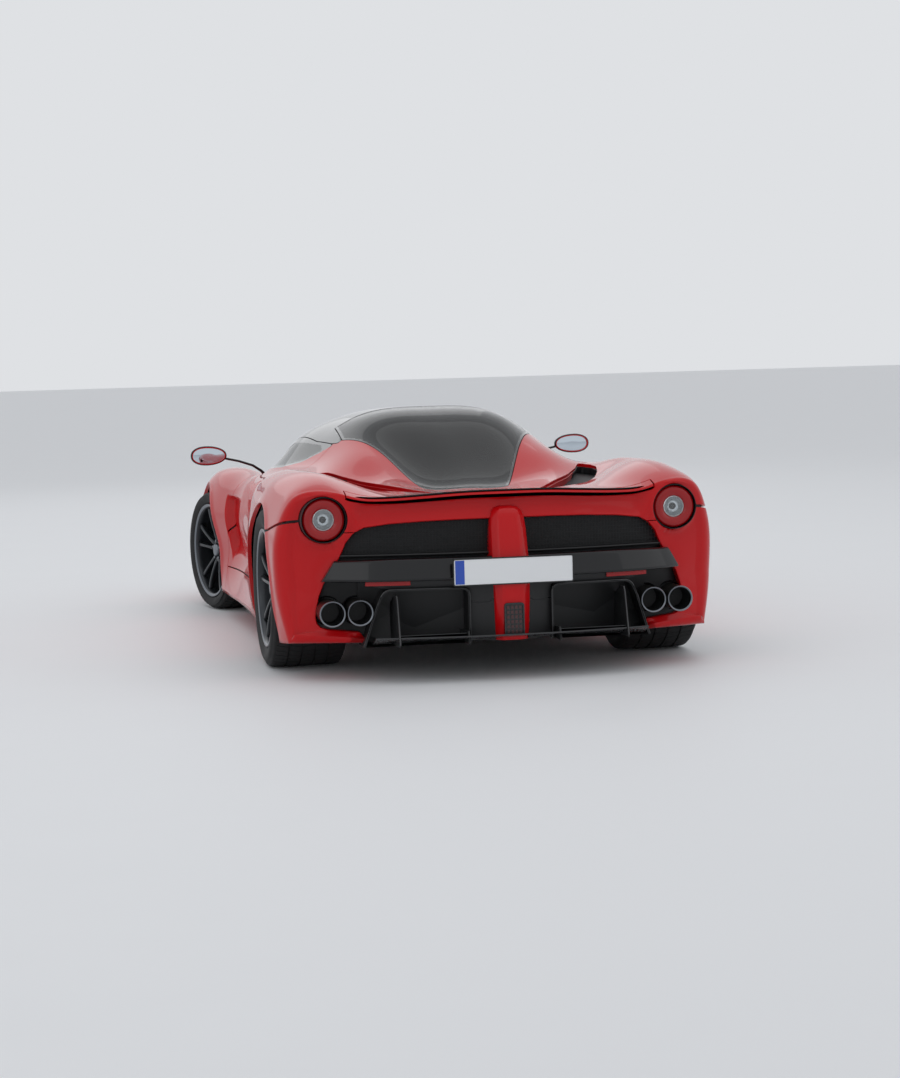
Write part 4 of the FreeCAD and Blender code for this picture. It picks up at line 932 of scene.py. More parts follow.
def rounded(outline, radius, steps=4, only=None):
    """Outline with rounded corners."""
    result = []
    count = len(outline)
    for k, corner in enumerate(outline):
        here = Vector(corner)
        if only is not None and k not in only:
            result.append(tuple(here))
            continue
        to_last, to_next = Vector(outline[k - 1]) - here, Vector(outline[(k + 1) % count]) - here
        reach = min(radius, to_last.length * 0.45, to_next.length * 0.45)
        start, end = here + to_last.normalized() * reach, here + to_next.normalized() * reach
        for n in range(steps + 1):
            t = n / steps
            result.append(tuple(start * (1 - t) ** 2 + here * 2 * t * (1 - t) + end * t * t))
    return result


def node_group(name, **inputs):
    """Geometry node tree with a geometry input and output, and further named inputs of given kinds."""
    tree = bpy.data.node_groups.new(name, "GeometryNodeTree")
    tree.interface.new_socket("Geometry", in_out="INPUT", socket_type="NodeSocketGeometry")
    tree.interface.new_socket("Geometry", in_out="OUTPUT", socket_type="NodeSocketGeometry")
    for label, kind in inputs.items():
        tree.interface.new_socket(label, in_out="INPUT", socket_type="NodeSocket" + kind)
    return tree, add(tree, "NodeGroupInput"), add(tree, "NodeGroupOutput")


def closed_tree(tree, given, result, last):
    """Ends a tree: its copies are made real and get their finish."""
    real = add(tree, "GeometryNodeRealizeInstances", {"Geometry": last.outputs[0]})
    painted = add(tree, "GeometryNodeSetMaterial", {"Geometry": real.outputs[0], "Material": given.outputs["Finish"]})
    tree.links.new(painted.outputs[0], result.inputs[0])
    return tree


def ring_tree():
    """Copies of a piece evenly turned about the X axis."""
    tree, given, result = node_group("copies_round_axis", Count="Int", Shift="Vector", Finish="Material")
    points = add(tree, "GeometryNodePoints", {"Count": given.outputs["Count"], "Position": given.outputs["Shift"]})
    index = add(tree, "GeometryNodeInputIndex")
    share = add(tree, "ShaderNodeMath", {0: index.outputs[0], 1: given.outputs["Count"]}, operation="DIVIDE")
    angle = add(tree, "ShaderNodeMath", {0: share.outputs[0], 1: TAU}, operation="MULTIPLY")
    turn = add(tree, "ShaderNodeCombineXYZ", {0: angle.outputs[0]})
    copies = add(tree, "GeometryNodeInstanceOnPoints", {"Points": points.outputs[0],
        "Instance": given.outputs["Geometry"], "Rotation": turn.outputs[0]})
    return closed_tree(tree, given, result, copies)


def grid_tree():
    """A flat mesh's faces turned to wire: the holes of a grille between bars of a given width."""
    tree, given, result = node_group("woven_grille", Width="Float", Height="Float", Pitch="Float", Wire="Float",
        Finish="Material")
    across = add(tree, "ShaderNodeMath", {0: given.outputs["Width"], 1: given.outputs["Pitch"]}, operation="DIVIDE")
    upward = add(tree, "ShaderNodeMath", {0: given.outputs["Height"], 1: given.outputs["Pitch"]}, operation="DIVIDE")
    sheet = add(tree, "GeometryNodeMeshGrid", {"Size X": given.outputs["Width"], "Size Y": given.outputs["Height"],
        "Vertices X": across.outputs[0], "Vertices Y": upward.outputs[0]})
    bars = add(tree, "GeometryNodeMeshToCurve", {"Mesh": sheet.outputs["Mesh"]})
    round_bar = add(tree, "GeometryNodeCurvePrimitiveCircle", {"Resolution": 4, "Radius": given.outputs["Wire"]})
    solid = add(tree, "GeometryNodeCurveToMesh", {"Curve": bars.outputs[0], "Profile Curve": round_bar.outputs[0]})
    return closed_tree(tree, given, result, solid)


TREES = {}


def grown(obj, maker, **values):
    """Runs a geometry node tree on an object with named inputs and keeps the result as its mesh."""
    if maker.__name__ not in TREES:
        TREES[maker.__name__] = maker()
    tree = TREES[maker.__name__]
    modifier = obj.modifiers.new("grow", "NODES")
    modifier.node_group = tree
    for item in tree.interface.items_tree:
        if item.item_type == "SOCKET" and item.in_out == "INPUT" and item.name in values:
            modifier[item.identifier] = values[item.name]
    settled(obj)
    return obj


def ring_piece(name, mesh, count, place, body, finish_name, replaced=()):
    """Copies of a mesh about the X axis, put in place as one piece."""
    obj = linked(name, mesh)
    grown(obj, ring_tree, Count=count, Shift=(0.0, 0.0, 0.0), Finish=finish(finish_name))
    obj.data.transform(place)
    if place.determinant() < 0:
        obj.data.flip_normals()
    obj.data.materials.clear()
    return place_piece(obj, [finish_name], replaced, body=body)


def belt_height(y):
    """Height where the painted flank meets the black window frame."""
    return np.interp(y, [-0.7, -0.4, -0.15, 0.15, 0.38, 0.51, 0.6], [0.792, 0.803, 0.81, 0.83, 0.863, 0.912, 0.965])


def shell_fields():
    """Shared regions of the shell, worked out from its basic fields."""
    f = SHELL.fields
    gap = sizes().shut_line
    low = np.minimum(-f["above_waist"], f["y"] - 1.459)
    f["blade_front"] = BLADE_FRONT - BLADE_SWEEP * (f["wide"] / BLADE_HALF) ** 2
    top_rows = 7.6 - f["tail_row"]
    f["rear_low"] = low
    f["blade_hole"] = np.minimum.reduce([f["y"] - f["blade_front"] + gap / 2, BLADE_HALF + gap - f["wide"],
        np.minimum(top_rows, sum(SPANS[:6]) - f["column"]) * 0.01])
    f["skirt"] = np.minimum.reduce([SKIRT_TOP - f["z"], f["y"] + 0.705, 0.775 - f["y"]])
    f["front"] = -f["y"]
    f["nose"] = BUMPER_LINE - f["y"]
    return f


def painted_panels():
    f = shell_fields()
    gap = sizes().shut_line / 2
    skin = sizes().skin
    common = cut("door", "roof", "arch", "cover", "screen")
    SHELL.panel("rear_body", common + cut("slot", "scoop", "lamp", "blade_hole", "rear_low", "skirt")
        + [f["y"] - 0.3], skin, ["paint", "plastic"], ("quarters", "tail_panel"))
    thinner_low = skin - (skin - 0.004) * smooth_step(0.3, 0.22, f["z"])
    groove = 0.009 * smooth_step(0.84, 0.9, f["wide"])
    SHELL.panel("rear_bumper_skin", [f["rear_low"] - gap - groove] + cut("lamp", "arch"), thinner_low,
        ["paint", "plastic"], ("rear_bumper",))
    SHELL.panel("front_fender_skins", common + cut("lid", "headlamp", "nose", "skirt") + [f["front"]], skin,
        ["paint", "plastic"], ("front_fenders",))
    thinner_nose = skin - (skin - 0.002) * smooth_step(0.34, 0.3, f["z"]) * smooth_step(-1.9, -2.0, f["y"])
    SHELL.panel("nose_skin", [f["nose"] - gap] + cut("headlamp", "side_intake"), thinner_nose, ["paint", "plastic"],
        ("front_bumper",))
    SHELL.panel("sill_skins", [f["skirt"] - gap], skin, ["paint", "plastic"], ("side_skirts",))
    SHELL.panel("roof_skin", within("roof") + cut("screen", "cover", "door"), skin, ["black", "plastic"],
        ("roof_frame",))


# Glass lies this far under the paint, so that its hidden edge has a place of its own
PANE_SINK = 0.0012


def swinging_panels():
    f = SHELL.fields
    half = sizes().shut_line / 2
    belt = belt_height(f["y"])
    for side in ("left", "right"):
        body = "door_" + side
        SHELL.panel(body + "_skin", within("door") + [belt - f["z"]], sizes().door, ["paint", "plastic"], (body,),
            sides=side, body=body)
        SHELL.panel(body + "_frame", within("door") + [f["z"] - belt, -f["window"]], 0.026, ["black", "plastic"],
            sides=side, body=body)
        SHELL.panel(body + "_pane", [f["window"] + 0.006, f["door"] - half], sizes().glass, ["side_glass"],
            ("door_glass_" + side,), sides=side, inner_finish=0, sink=PANE_SINK, body=body)
    SHELL.panel("front_lid_skin", within("lid"), 0.014, ["paint", "plastic"], ("front_lid",), body="front_lid")
    SHELL.panel("engine_cover_frame", within("cover") + [-f["cover_glass"]], 0.014, ["black", "plastic"],
        ("engine_cover",), body="engine_cover")
    SHELL.panel("engine_cover_glass", [f["cover_glass"] + 0.004], sizes().glass, ["cover_glass"], ("engine_glass",),
        sink=PANE_SINK, body="engine_cover")
    SHELL.panel("windscreen_glass", [f["screen"] + 0.004], sizes().glass, ["cover_glass"], ("windscreen",),
        sink=PANE_SINK)


def seam_backing():
    """Black flanges behind the shut lines, so that no line shows through to the inside; the flanges are real, their
    black is painted shade that makes each shut line read as a dark gap.
    """
    f = SHELL.fields
    lines = [np.abs(f[name]) for name in ("door", "lid", "cover", "headlamp", "roof")]
    lines.append(np.abs(f["nose"]))
    lines.append(np.where(f["y"] > 1.7, np.abs(f["above_waist"]), 1))
    near = 0.022 - np.minimum.reduce(lines)
    SHELL.panel("seam_flanges", [near, -f["screen"], -f["cover_glass"], -f["window"], -f["arch"] - 0.01, -f["lamp"],
        -f["slot"], -f["side_intake"]], 0.002, ["plastic"], sink=sizes().skin + 0.001)
    # Black sheet under the blade's opening: painted shade of the gap under the blade
    SHELL.panel("blade_gap_shade", [f["blade_hole"] + 0.012], 0.002, ["plastic"], sink=0.019)


def tail_blade():
    f = SHELL.fields
    SHELL.panel("tail_blade", [f["y"] - f["blade_front"] - sizes().shut_line / 2, BLADE_HALF - f["wide"],
        6.5 - f["tail_row"]], 0.011, ["paint", "plastic"], ("rear_spoiler",), body="rear_spoiler")


def surface_at(a, b, view="tail"):
    """The shell's point and outward normal at a place seen from a side.

    The place is x and z from the tail or the nose, y and z on the left flank, and x and y from above.
    """
    f = SHELL.fields
    across, upward, hidden = {"tail": (f["x"], f["z"], (f["y"] < 1.9) | (f["tail_row"] > 19.5)),
        "nose": (f["x"], f["z"], (f["y"] > -1.9) | (f["row"] < 3)), "flank": (f["y"], f["z"], f["x"] < 0.3),
        "top": (f["x"], f["y"], f["column"] > sum(SPANS[:6])),}[view]
    away = np.hypot(across - a, upward - b) + 10 * hidden
    near = np.argpartition(away.ravel(), 4)[:4]
    weight = 1 / np.maximum(away.ravel()[near], 1e-5)
    weight /= weight.sum()
    point = (SHELL.points.reshape(-1, 3)[near] * weight[:, None]).sum(axis=0)
    normal = (SHELL.normals.reshape(-1, 3)[near] * weight[:, None]).sum(axis=0)
    return Vector(point), Vector(normal).normalized()


LAMP_FACE = 2.02
# The bowl is black plastic: painted shade of the gap between the lamp ring and the body's brow
LAMP_BOWL = ((0.0, 0.0985), (0.056, 0.0985), (0.056, 0.0965), (0.004, 0.0965), (0.0, 0.04))
LAMP_RING = ((-0.006, 0.0935), (0.03, 0.0935), (0.04, 0.0915), (0.0465, 0.087), (0.05, 0.079), (0.0505, 0.068),
    (0.047, 0.056), (0.041, 0.048), (0.034, 0.0465), (-0.006, 0.0465))
LAMP_TRIM = ((0.03, 0.0465), (0.0405, 0.046), (0.042, 0.044), (0.038, 0.0415), (0.03, 0.041))
LAMP_LENS = ((0.0365, 0.042), (0.039, 0.036), (0.041, 0.026), (0.0425, 0.014), (0.043, 0.0001), (0.04, 0.0001),
    (0.0395, 0.014), (0.038, 0.026), (0.036, 0.036), (0.034, 0.042))
LAMP_REFLECTOR = ((0.032, 0.041), (0.027, 0.034), (0.02, 0.028), (0.018, 0.02), (0.018, 0.0001), (0.012, 0.0001),
    (0.012, 0.018), (0.016, 0.03), (0.025, 0.036), (0.03, 0.0425))
LAMP_LEDS = ((0.017, 0.015), (0.0235, 0.0145), (0.0255, 0.012), (0.0245, 0.009), (0.0205, 0.007), (0.0195, 0.0001),
    (0.017, 0.0001))


def tail_lamps():
    ring, trim, lens, inside_lamp = Parts(), Parts(), Parts(), Parts()
    for side in (1, -1):
        place = axis_place((side * LAMP[0], LAMP_FACE, LAMP[1]), (0, 1, 0))
        ring.turned(LAMP_RING, place, steps=96)
        # Black bowl: painted shade of the gap round the ring
        trim.turned(LAMP_BOWL, place, 0, steps=96)
        trim.turned(LAMP_TRIM, place, 1, steps=96)
        lens.turned(LAMP_LENS, place, steps=64)
        inside_lamp.turned(LAMP_REFLECTOR, place, 0, steps=64)
        inside_lamp.turned(LAMP_LEDS, place, 1, steps=48)
    ring.piece("tail_lamp_rings", ["red_lens"], ("tail_lamps",))
    trim.piece("tail_lamp_bowls", ["plastic", "chrome"])
    lens.piece("tail_lamp_lenses", ["clear_lens"])
    inside_lamp.piece("tail_lamp_reflectors", ["chrome", "trim"], smooth=50)


SPINE_STATIONS = (
    # height, y of the flat, half width of the flat, half width at the sides, y of the sides' front edge
    (0.165, 2.262, 0.044, 0.070, 2.238), (0.200, 2.276, 0.046, 0.073, 2.250), (0.340, 2.284, 0.047, 0.077, 2.262),
    (0.420, 2.284, 0.048, 0.079, 2.262), (0.530, 2.262, 0.049, 0.080, 2.238), (0.640, 2.236, 0.048, 0.078, 2.210),
    (0.690, 2.221, 0.046, 0.073, 2.196), (0.715, 2.210, 0.041, 0.066, 2.186), (0.730, 2.196, 0.032, 0.052, 2.176),
    (0.738, 2.176, 0.018, 0.032, 2.166),
)


def centre_spine():
    spine = Parts()
    rings = []
    for z, y, flat, wide, edge in SPINE_STATIONS:
        half = [(0, y + 0.002), (flat * 0.6, y + 0.0015), (flat, y), (flat + 0.004, y - 0.003), (wide - 0.004, edge),
            (wide, edge - 0.006), (wide, 2.135)]
        rings.append([(x, depth, z) for x, depth in half] + [(-x, depth, z) for x, depth in reversed(half[1:])])
    spine.lofted(rings)
    spine.piece("painted_spine", ["paint"], ("centre_spine",), smooth=40)
    fog = Parts()
    outline = rounded([(-0.044, 0.184), (0.044, 0.184), (0.044, 0.328), (-0.044, 0.328)], 0.016, 6)
    inner = rounded([(-0.037, 0.191), (0.037, 0.191), (0.037, 0.321), (-0.037, 0.321)], 0.011, 6)
    face = 2.296
    fog.lofted([[(x, face - 0.022, z) for x, z in outline], [(x, face, z) for x, z in outline],
        [(x, face, z) for x, z in inner], [(x, face - 0.008, z) for x, z in inner]], 0, None, True)
    for row in range(6):
        for column in range(4):
            x, z = -0.0265 + column * 0.0177, 0.204 + row * 0.0208
            fog.box((x - 0.0068, face - 0.01, z - 0.0082), (x + 0.0068, face - 0.0045, z + 0.0082), 1)
    fog.piece("fog_lamp", ["trim", "fog_lens"], bevel=0.0012)


BAR_PLAN = np.array(((0, 2.262), (0.25, 2.2455), (0.5, 2.213), (0.65, 2.17), (0.74, 2.118), (0.79, 2.078),
    (0.83, 2.03)))


def bar_line(x):
    """Plan curve of the bar's face."""
    return float(cubic_through(BAR_PLAN[:, 0], BAR_PLAN[:, 1], np.array([x]))[0])


def rear_bar():
    bar, under = Parts(), Parts()
    rings, low_rings = [], []
    low = 0.43
    for x in (0.078, 0.2, 0.3, 0.4, 0.5, 0.56, 0.61, 0.65, 0.69, 0.72, 0.745, 0.76, 0.77):
        top = 0.529 - 0.008 * max(0, x - 0.5) / 0.27
        lean = 0.056 * float(smooth_step(0.6, 0.77, x))
        ring = []
        for back, z in ((0.06, top - 0.004), (0.034, top), (0.023, top - 0.006), (0.018, top - 0.016),
                (0.001, low + 0.012), (0.004, low + 0.003), (0.014, low), (0.06, low)):
            across = x + lean * ((top - z) / (top - low) - 0.5)
            ring.append((across, bar_line(across) - back, z))
        rings.append(ring)
    bar.lofted(rings)
    for x in (0.078, 0.2, 0.3, 0.4, 0.5, 0.58, 0.64):
        y = bar_line(x) - 0.026
        low = 0.392 + 0.036 * max(0, (x - 0.54) / 0.1)
        low_rings.append([(x, y - 0.03, 0.434), (x, y, 0.434), (x, y - 0.01, low), (x, y - 0.04, low)])
    under.lofted(low_rings)
    bar.both().piece("gloss_bar", ["black"], ("rear_bar",), bevel=0.0015, smooth=45)
    under.both().piece("bar_lower_panel", ["plastic"], bevel=0.002)
    reflectors = Parts()
    rings = []
    for x in (0.432, 0.48, 0.53, 0.58, 0.622):
        y = bar_line(x) - 0.028
        rings.append([(x, y - 0.01, 0.432), (x, y + 0.008, 0.431), (x, y + 0.008, 0.413), (x, y - 0.01, 0.412)])
    reflectors.lofted(rings).both().piece("rear_reflectors", ["red_lens"], bevel=0.002)


PLATE_HALF, PLATE_LOW, PLATE_HIGH = 0.26, 0.412, 0.522
PLATE_FACE = 2.2955


def number_plate():
    plate = Parts()
    plate.prism(rounded([(-PLATE_HALF, PLATE_LOW), (PLATE_HALF, PLATE_LOW), (PLATE_HALF, PLATE_HIGH),
        (-PLATE_HALF, PLATE_HIGH)], 0.008), PLATE_FACE - 0.002, PLATE_FACE)
    edge = rounded([(-PLATE_HALF - 0.004, PLATE_LOW - 0.004), (PLATE_HALF + 0.004, PLATE_LOW - 0.004),
        (PLATE_HALF + 0.004, PLATE_HIGH + 0.004), (-PLATE_HALF - 0.004, PLATE_HIGH + 0.004)], 0.011)
    inner = rounded([(-PLATE_HALF + 0.001, PLATE_LOW + 0.001), (PLATE_HALF - 0.001, PLATE_LOW + 0.001),
        (PLATE_HALF - 0.001, PLATE_HIGH - 0.001), (-PLATE_HALF + 0.001, PLATE_HIGH - 0.001)], 0.007)
    back, front = PLATE_FACE - 0.006, PLATE_FACE + 0.0015
    plate.lofted([[(x, back, z) for x, z in edge], [(x, front, z) for x, z in edge],
        [(x, front, z) for x, z in inner], [(x, back, z) for x, z in inner]], 2, None, False, True)
    plate.box((PLATE_HALF - 0.046, PLATE_FACE - 0.001, PLATE_LOW + 0.004),
        (PLATE_HALF - 0.006, PLATE_FACE + 0.0006, PLATE_HIGH - 0.004), 1)
    plate.box((-0.07, 2.255, 0.43), (0.07, PLATE_FACE - 0.005, 0.5), 2)
    plate.piece("blank_plate", ["plate", "plate_blue", "plastic"], ("number_plate",))


PIPE_MIDDLES = (0.648, 0.768)
PIPE_HEIGHT = 0.301
PIPE_PROFILE = ((0.0, 0.0525), (0.16, 0.054), (0.172, 0.0565), (0.179, 0.057), (0.182, 0.055), (0.1815, 0.0515),
    (0.177, 0.048), (0.165, 0.0462), (0.09, 0.0455), (0.06, 0.044), (0.058, 0.001), (0.05, 0.001), (0.0, 0.05))


def exhausts():
    pipes, surround = Parts(), Parts()
    for x in PIPE_MIDDLES:
        place = axis_place((x, 2.0, PIPE_HEIGHT), (0, 1, 0))
        pipes.turned(PIPE_PROFILE, place, 0, 64, True, [0, 0, 2, 2, 2, 2, 0, 1, 1, 1, 1, 1, 1])
    pipes.both().piece("tail_pipes", ["pipe", "plastic", "rim_edge"], ("exhaust_tips",), smooth=50)
    columns = np.linspace(0.5, 0.846, 12)
    rings = []
    for x in columns:
        y = float(tail_y(x)) - 0.045
        low = float(np.interp(x, [0.5, 0.64, 0.77, 0.82, 0.846], [0.16, 0.2, 0.211, 0.226, 0.25]))
        high = float(np.interp(x, [0.5, 0.7, 0.846], [0.47, 0.47, 0.43]))
        steps = np.linspace(0, 1, 7)
        ring = [(x, y - 0.02 * sin(pi * s), low + (high - low) * s) for s in steps]
        ring += [(x, y - 0.03, low + (high - low) * s) for s in reversed(steps)]
        rings.append(ring)
    surround.lofted(rings)
    surround.both().piece("exhaust_surround", ["plastic"], smooth=60)
    collars = Parts()
    for x in PIPE_MIDDLES:
        place = axis_place((x, float(tail_y(x)) - 0.075, PIPE_HEIGHT), (0, 1, 0))
        collars.turned(((0, 0.064), (0.022, 0.064), (0.026, 0.0615), (0.022, 0.058), (0, 0.058)), place, 0, 64)
    collars.both().piece("exhaust_collars", ["trim"])


BOX_OUTLINE = ((0.18, 0.16), (0.18, 0.396), (0.545, 0.396), (0.575, 0.33), (0.634, 0.15))
FIN_X = 0.5


def diffuser():
    walls, floor = Parts(), Parts()
    outer = rounded(BOX_OUTLINE, 0.035, 5, only=(1, 2))
    inner = rounded([(0.187, 0.16), (0.187, 0.389), (0.54, 0.389), (0.568, 0.33), (0.626, 0.15)], 0.029, 5,
        only=(1, 2))

    def depth(x, back):
        return bar_line(x) - 0.02 - back

    walls.lofted([[(x, depth(x, 0.13), z) for x, z in outer], [(x, depth(x, 0.0), z) for x, z in outer],
        [(x, depth(x, 0.0), z) for x, z in inner], [(x, depth(x, 0.11), z * 0.96 + 0.012) for x, z in inner]], 0)
    rim = [(x, depth(x, -0.0015), z) for x, z in outer[:-1]] + [(0.634, depth(0.634, 0), 0.15)]
    walls.tube(rim, 0.0032, 1, 8)
    fin = ((1.975, 0.155), (2.3, 0.16), (2.306, 0.168), (2.25, 0.35), (2.235, 0.371), (2.18, 0.371), (2.02, 0.3))
    walls.prism([(y, z) for y, z in fin], FIN_X - 0.004, FIN_X + 0.004, "x", 0)
    walls.tube([(FIN_X, 2.3, 0.16), (FIN_X, 2.306, 0.168), (FIN_X, 2.25, 0.35), (FIN_X, 2.235, 0.371)], 0.0036, 1, 8)
    inner_fin = ((1.975, 0.155), (2.31, 0.16), (2.29, 0.215), (2.02, 0.2))
    walls.prism([(y, z) for y, z in inner_fin], 0.196, 0.204, "x", 0)
    rings = [[(x, 2.08, 0.182), (x, 2.18, 0.19), (x, 2.27, 0.206), (x, 2.276, 0.203), (x, 2.18, 0.18),
        (x, 2.08, 0.174)] for x in (0.204, 0.3, 0.4, 0.496)]
    walls.lofted(rings, 0)
    walls.tube([(0.206, 2.275, 0.2045), (0.494, 2.275, 0.2045)], 0.003, 1, 8)
    walls.both().piece("diffuser_walls", ["plastic", "trim"], ("diffuser",), smooth=40)
    rings = []
    for x in (-0.6, -0.5, -0.25, 0.0, 0.25, 0.5, 0.6):
        end = 2.345 - 0.075 * (abs(x) / 0.6) ** 2
        rings.append([(x, 1.965, 0.171), (x, 2.05, 0.162), (x, 2.2, 0.178), (x, end, 0.2), (x, end, 0.193),
            (x, 2.2, 0.166), (x, 2.05, 0.149), (x, 1.905, 0.14), (x, 1.905, 0.146)])
    floor.lofted(rings)
    floor.piece("diffuser_floor", ["carbon"], bevel=0.0015, smooth=50)
    back = Parts()
    rings = []
    for x in (-0.64, -0.4, -0.2, 0, 0.2, 0.4, 0.64):
        y = float(bar_line(abs(x))) - 0.15
        rings.append([(x, y, 0.168), (x, y + 0.02, 0.3), (x, y + 0.05, 0.46), (x, y + 0.04, 0.46), (x, y + 0.01, 0.3),
            (x, y - 0.01, 0.168)])
    back.lofted(rings)
    back.piece("diffuser_back", ["plastic"], smooth=60)
    middle = Parts()
    for side in (1, -1):
        middle.lofted([[(side * x, y - 0.02, 0.165), (side * x, y, 0.165), (side * x, y + 0.004, 0.27),
            (side * x, y + 0.01, 0.41), (side * x, y - 0.02, 0.41)] for x,
            y in ((0.072, 2.235), (0.1, 2.222), (0.14, 2.212), (0.181, 2.205))])
        middle.tube([(side * 0.075, 2.243, 0.345), (side * 0.1, 2.229, 0.332), (side * 0.14, 2.219, 0.328),
            (side * 0.18, 2.212, 0.336)], 0.0022, 1, 8)
    middle.piece("diffuser_middle", ["plastic", "trim"], smooth=50)


GRILLE_OUTLINE = ((-0.735, 0.525), (0.735, 0.525), (0.735, 0.56), (0.66, 0.665), (0.62, 0.7), (-0.62, 0.7),
    (-0.66, 0.665), (-0.735, 0.56))


def rear_grille():
    """Woven mesh bent to the tail's arc, with a black sheet behind it as painted shade of the space behind the mesh.
    """
    bent_grille("rear_grille", GRILLE_OUTLINE, lambda x, z: float(tail_y(x)) - 0.03 - 0.1 * max(0, z - 0.66),
        ("grilles",))
    # Black sheet: painted shade behind the grille mesh
    sheet = Parts()
    rings = []
    for x in np.linspace(-0.76, 0.76, 15):
        y = float(tail_y(x)) - 0.055
        rings.append([(x, y, 0.5), (x, y, 0.7), (x, y - 0.004, 0.7), (x, y - 0.004, 0.5)])
    sheet.lofted(rings).piece("grille_shade_sheet", ["plastic"])
    frame_bar = Parts()
    path = [(x, float(tail_y(x)) - 0.024, 0.538) for x in np.linspace(0.08, 0.72, 8)]
    frame_bar.tube(path, 0.006, 0, 8).both().piece("grille_rail", ["plastic"])


STEER_REST = radians(14)
KINGPIN = 0.062
# Middle of the wheel from the centre line, rim radius and width, tyre radius and width, caliper's direction
WHEELS = {"front": (0.8275, 0.2413, 0.245, 0.3208, 0.265, 25), "rear": (0.8095, 0.254, 0.325, 0.3575, 0.345, 155),}
DISC_MIDDLE, DISC_HALF, DISC_RADIUS = 0.015, 0.017, 0.195


def wheel_place(end, side):
    """Matrix from a wheel's own axes, X outboard, to its place at rest."""
    middle, axle, height = WHEELS[end][0], AXLES[end][0], AXLES[end][1]
    place = Matrix.Translation((side * middle, axle, height)) @ Matrix.Scale(side, 4, (1, 0, 0))
    if end == "rear":
        return place
    pin = Vector((side * (middle - KINGPIN), axle, 0))
    return Matrix.Translation(pin) @ Matrix.Rotation(STEER_REST, 4, "Z") @ Matrix.Translation(-pin) @ place


def spoke(rim_radius, half, side):
    """One bar of a twin spoke, lofted from the hub to the barrel."""
    part = Parts()
    rings = []
    reach = rim_radius - 0.007
    for share in (0, 0.12, 0.3, 0.5, 0.7, 0.88, 1.0):
        r = 0.052 + (reach - 0.052) * share
        across = side * (0.013 + 0.045 * share ** 1.15)
        face = half - 0.013 - 0.03 * (1 - share) ** 1.6 - 0.004 * share
        wide = 0.0125 - 0.0035 * sin(pi * share) + 0.003 * share ** 4
        deep = 0.04 - 0.014 * share
        r = sqrt(max(r * r - across * across, 0.0004)) if share > 0.9 else r
        rings.append([(face, across - wide * 0.55, r), (face, across + wide * 0.55, r),
            (face - 0.004, across + wide * 0.9, r), (face - deep * 0.7, across + wide, r),
            (face - deep, across + wide * 0.6, r), (face - deep, across - wide * 0.6, r),
            (face - deep * 0.7, across - wide, r), (face - 0.004, across - wide * 0.9, r)])
    return part.lofted(rings)


def rim(end, side, tag):
    _, radius, width, _, _, _ = WHEELS[end]
    half, edge, inner = width / 2, radius + 0.014, radius - 0.009
    place = wheel_place(end, side)
    body = "wheel_%s_%s" % (end, tag)
    barrel = Parts()
    barrel.turned(((-half, edge - 0.002), (-half + 0.003, edge), (-half + 0.007, edge - 0.001),
        (-half + 0.009, radius), (-0.03, radius), (-0.02, radius - 0.004), (0.04, radius - 0.004), (0.05, radius),
        (half - 0.009, radius), (half - 0.007, edge - 0.001), (half - 0.003, edge), (half, edge - 0.002),
        (half + 0.0005, edge - 0.007), (half - 0.004, inner + 0.007), (half - 0.014, inner + 0.002),
        (half - 0.035, inner - 0.001), (0.0, inner - 0.004), (-half + 0.02, inner), (-half, inner + 0.006)), place, 0,
        128, True, [0] * 9 + [1, 1, 1, 1] + [0] * 6)
    face = half - 0.043
    barrel.turned(((face - 0.05, 0.03), (face - 0.05, 0.074), (face - 0.03, 0.078), (face - 0.006, 0.07),
        (face, 0.06), (face + 0.001, 0.04), (face - 0.012, 0.036), (face - 0.012, 0.03)), place, 0, 64)
    barrel.turned(((face - 0.014, 0.0355), (face + 0.01, 0.034), (face + 0.015, 0.03), (face + 0.017, 0.02),
        (face + 0.018, 0.0001), (face - 0.014, 0.0001)), place, 1, 48)
    barrel.piece("wheel_rim_%s_%s" % (end, tag), ["wheel", "rim_edge"], ("rim_%s_%s" % (end, tag),), smooth=40,
        body=body)
    pair = spoke(radius, half, 1)
    other = spoke(radius, half, -1)
    pair.add(other.points, other.faces)
    ring_piece("spokes_%s_%s" % (end, tag), pair.mesh("spoke", 0.0015, 1, 50), sizes().twin_spokes, place, body,
        "wheel")
    bolt = Parts().turned(((0, 0.0001), (0, 0.0095), (0.012, 0.0085), (0.014, 0.006), (0.014, 0.0001)),
        Matrix.Translation((face - 0.004, 0, 0.05)), 0, 6)
    ring_piece("wheel_bolts_%s_%s" % (end, tag), bolt.mesh("bolt", 0, 1, 30), 5, place, body, "rim_edge")
    disc = Parts()
    low, high = DISC_MIDDLE - DISC_HALF, DISC_MIDDLE + DISC_HALF
    disc.turned(((low, 0.112), (low, DISC_RADIUS - 0.002), (low + 0.002, DISC_RADIUS), (low + 0.011, DISC_RADIUS),
        (low + 0.012, DISC_RADIUS - 0.02), (high - 0.012, DISC_RADIUS - 0.02), (high - 0.011, DISC_RADIUS),
        (high - 0.002, DISC_RADIUS), (high, DISC_RADIUS - 0.002), (high, 0.112)), place, 0, 96)
    disc.turned(((high - 0.002, 0.113), (high + 0.007, 0.108), (high + 0.008, 0.06), (high - 0.004, 0.06),
        (high - 0.006, 0.11)), place, 1, 64)
    disc.piece("disc_%s_%s" % (end, tag), ["disc", "cast"], smooth=40, body=body)
    # Black pins on the disc's face, no holes cut: painted shade of the drilled holes
    holes = Parts()
    for k, r in enumerate((0.13, 0.148, 0.166, 0.182)):
        spin = Matrix.Rotation(radians(2.2 * k), 4, "X") @ Matrix.Translation((high - 0.001, 0, r))
        holes.turned(((0, 0.0001), (0, 0.0028), (0.0014, 0.0028), (0.0014, 0.0001)), spin, 0, 8)
    ring_piece("disc_holes_%s_%s" % (end, tag), holes.mesh("holes"), 36, place, body, "plastic")


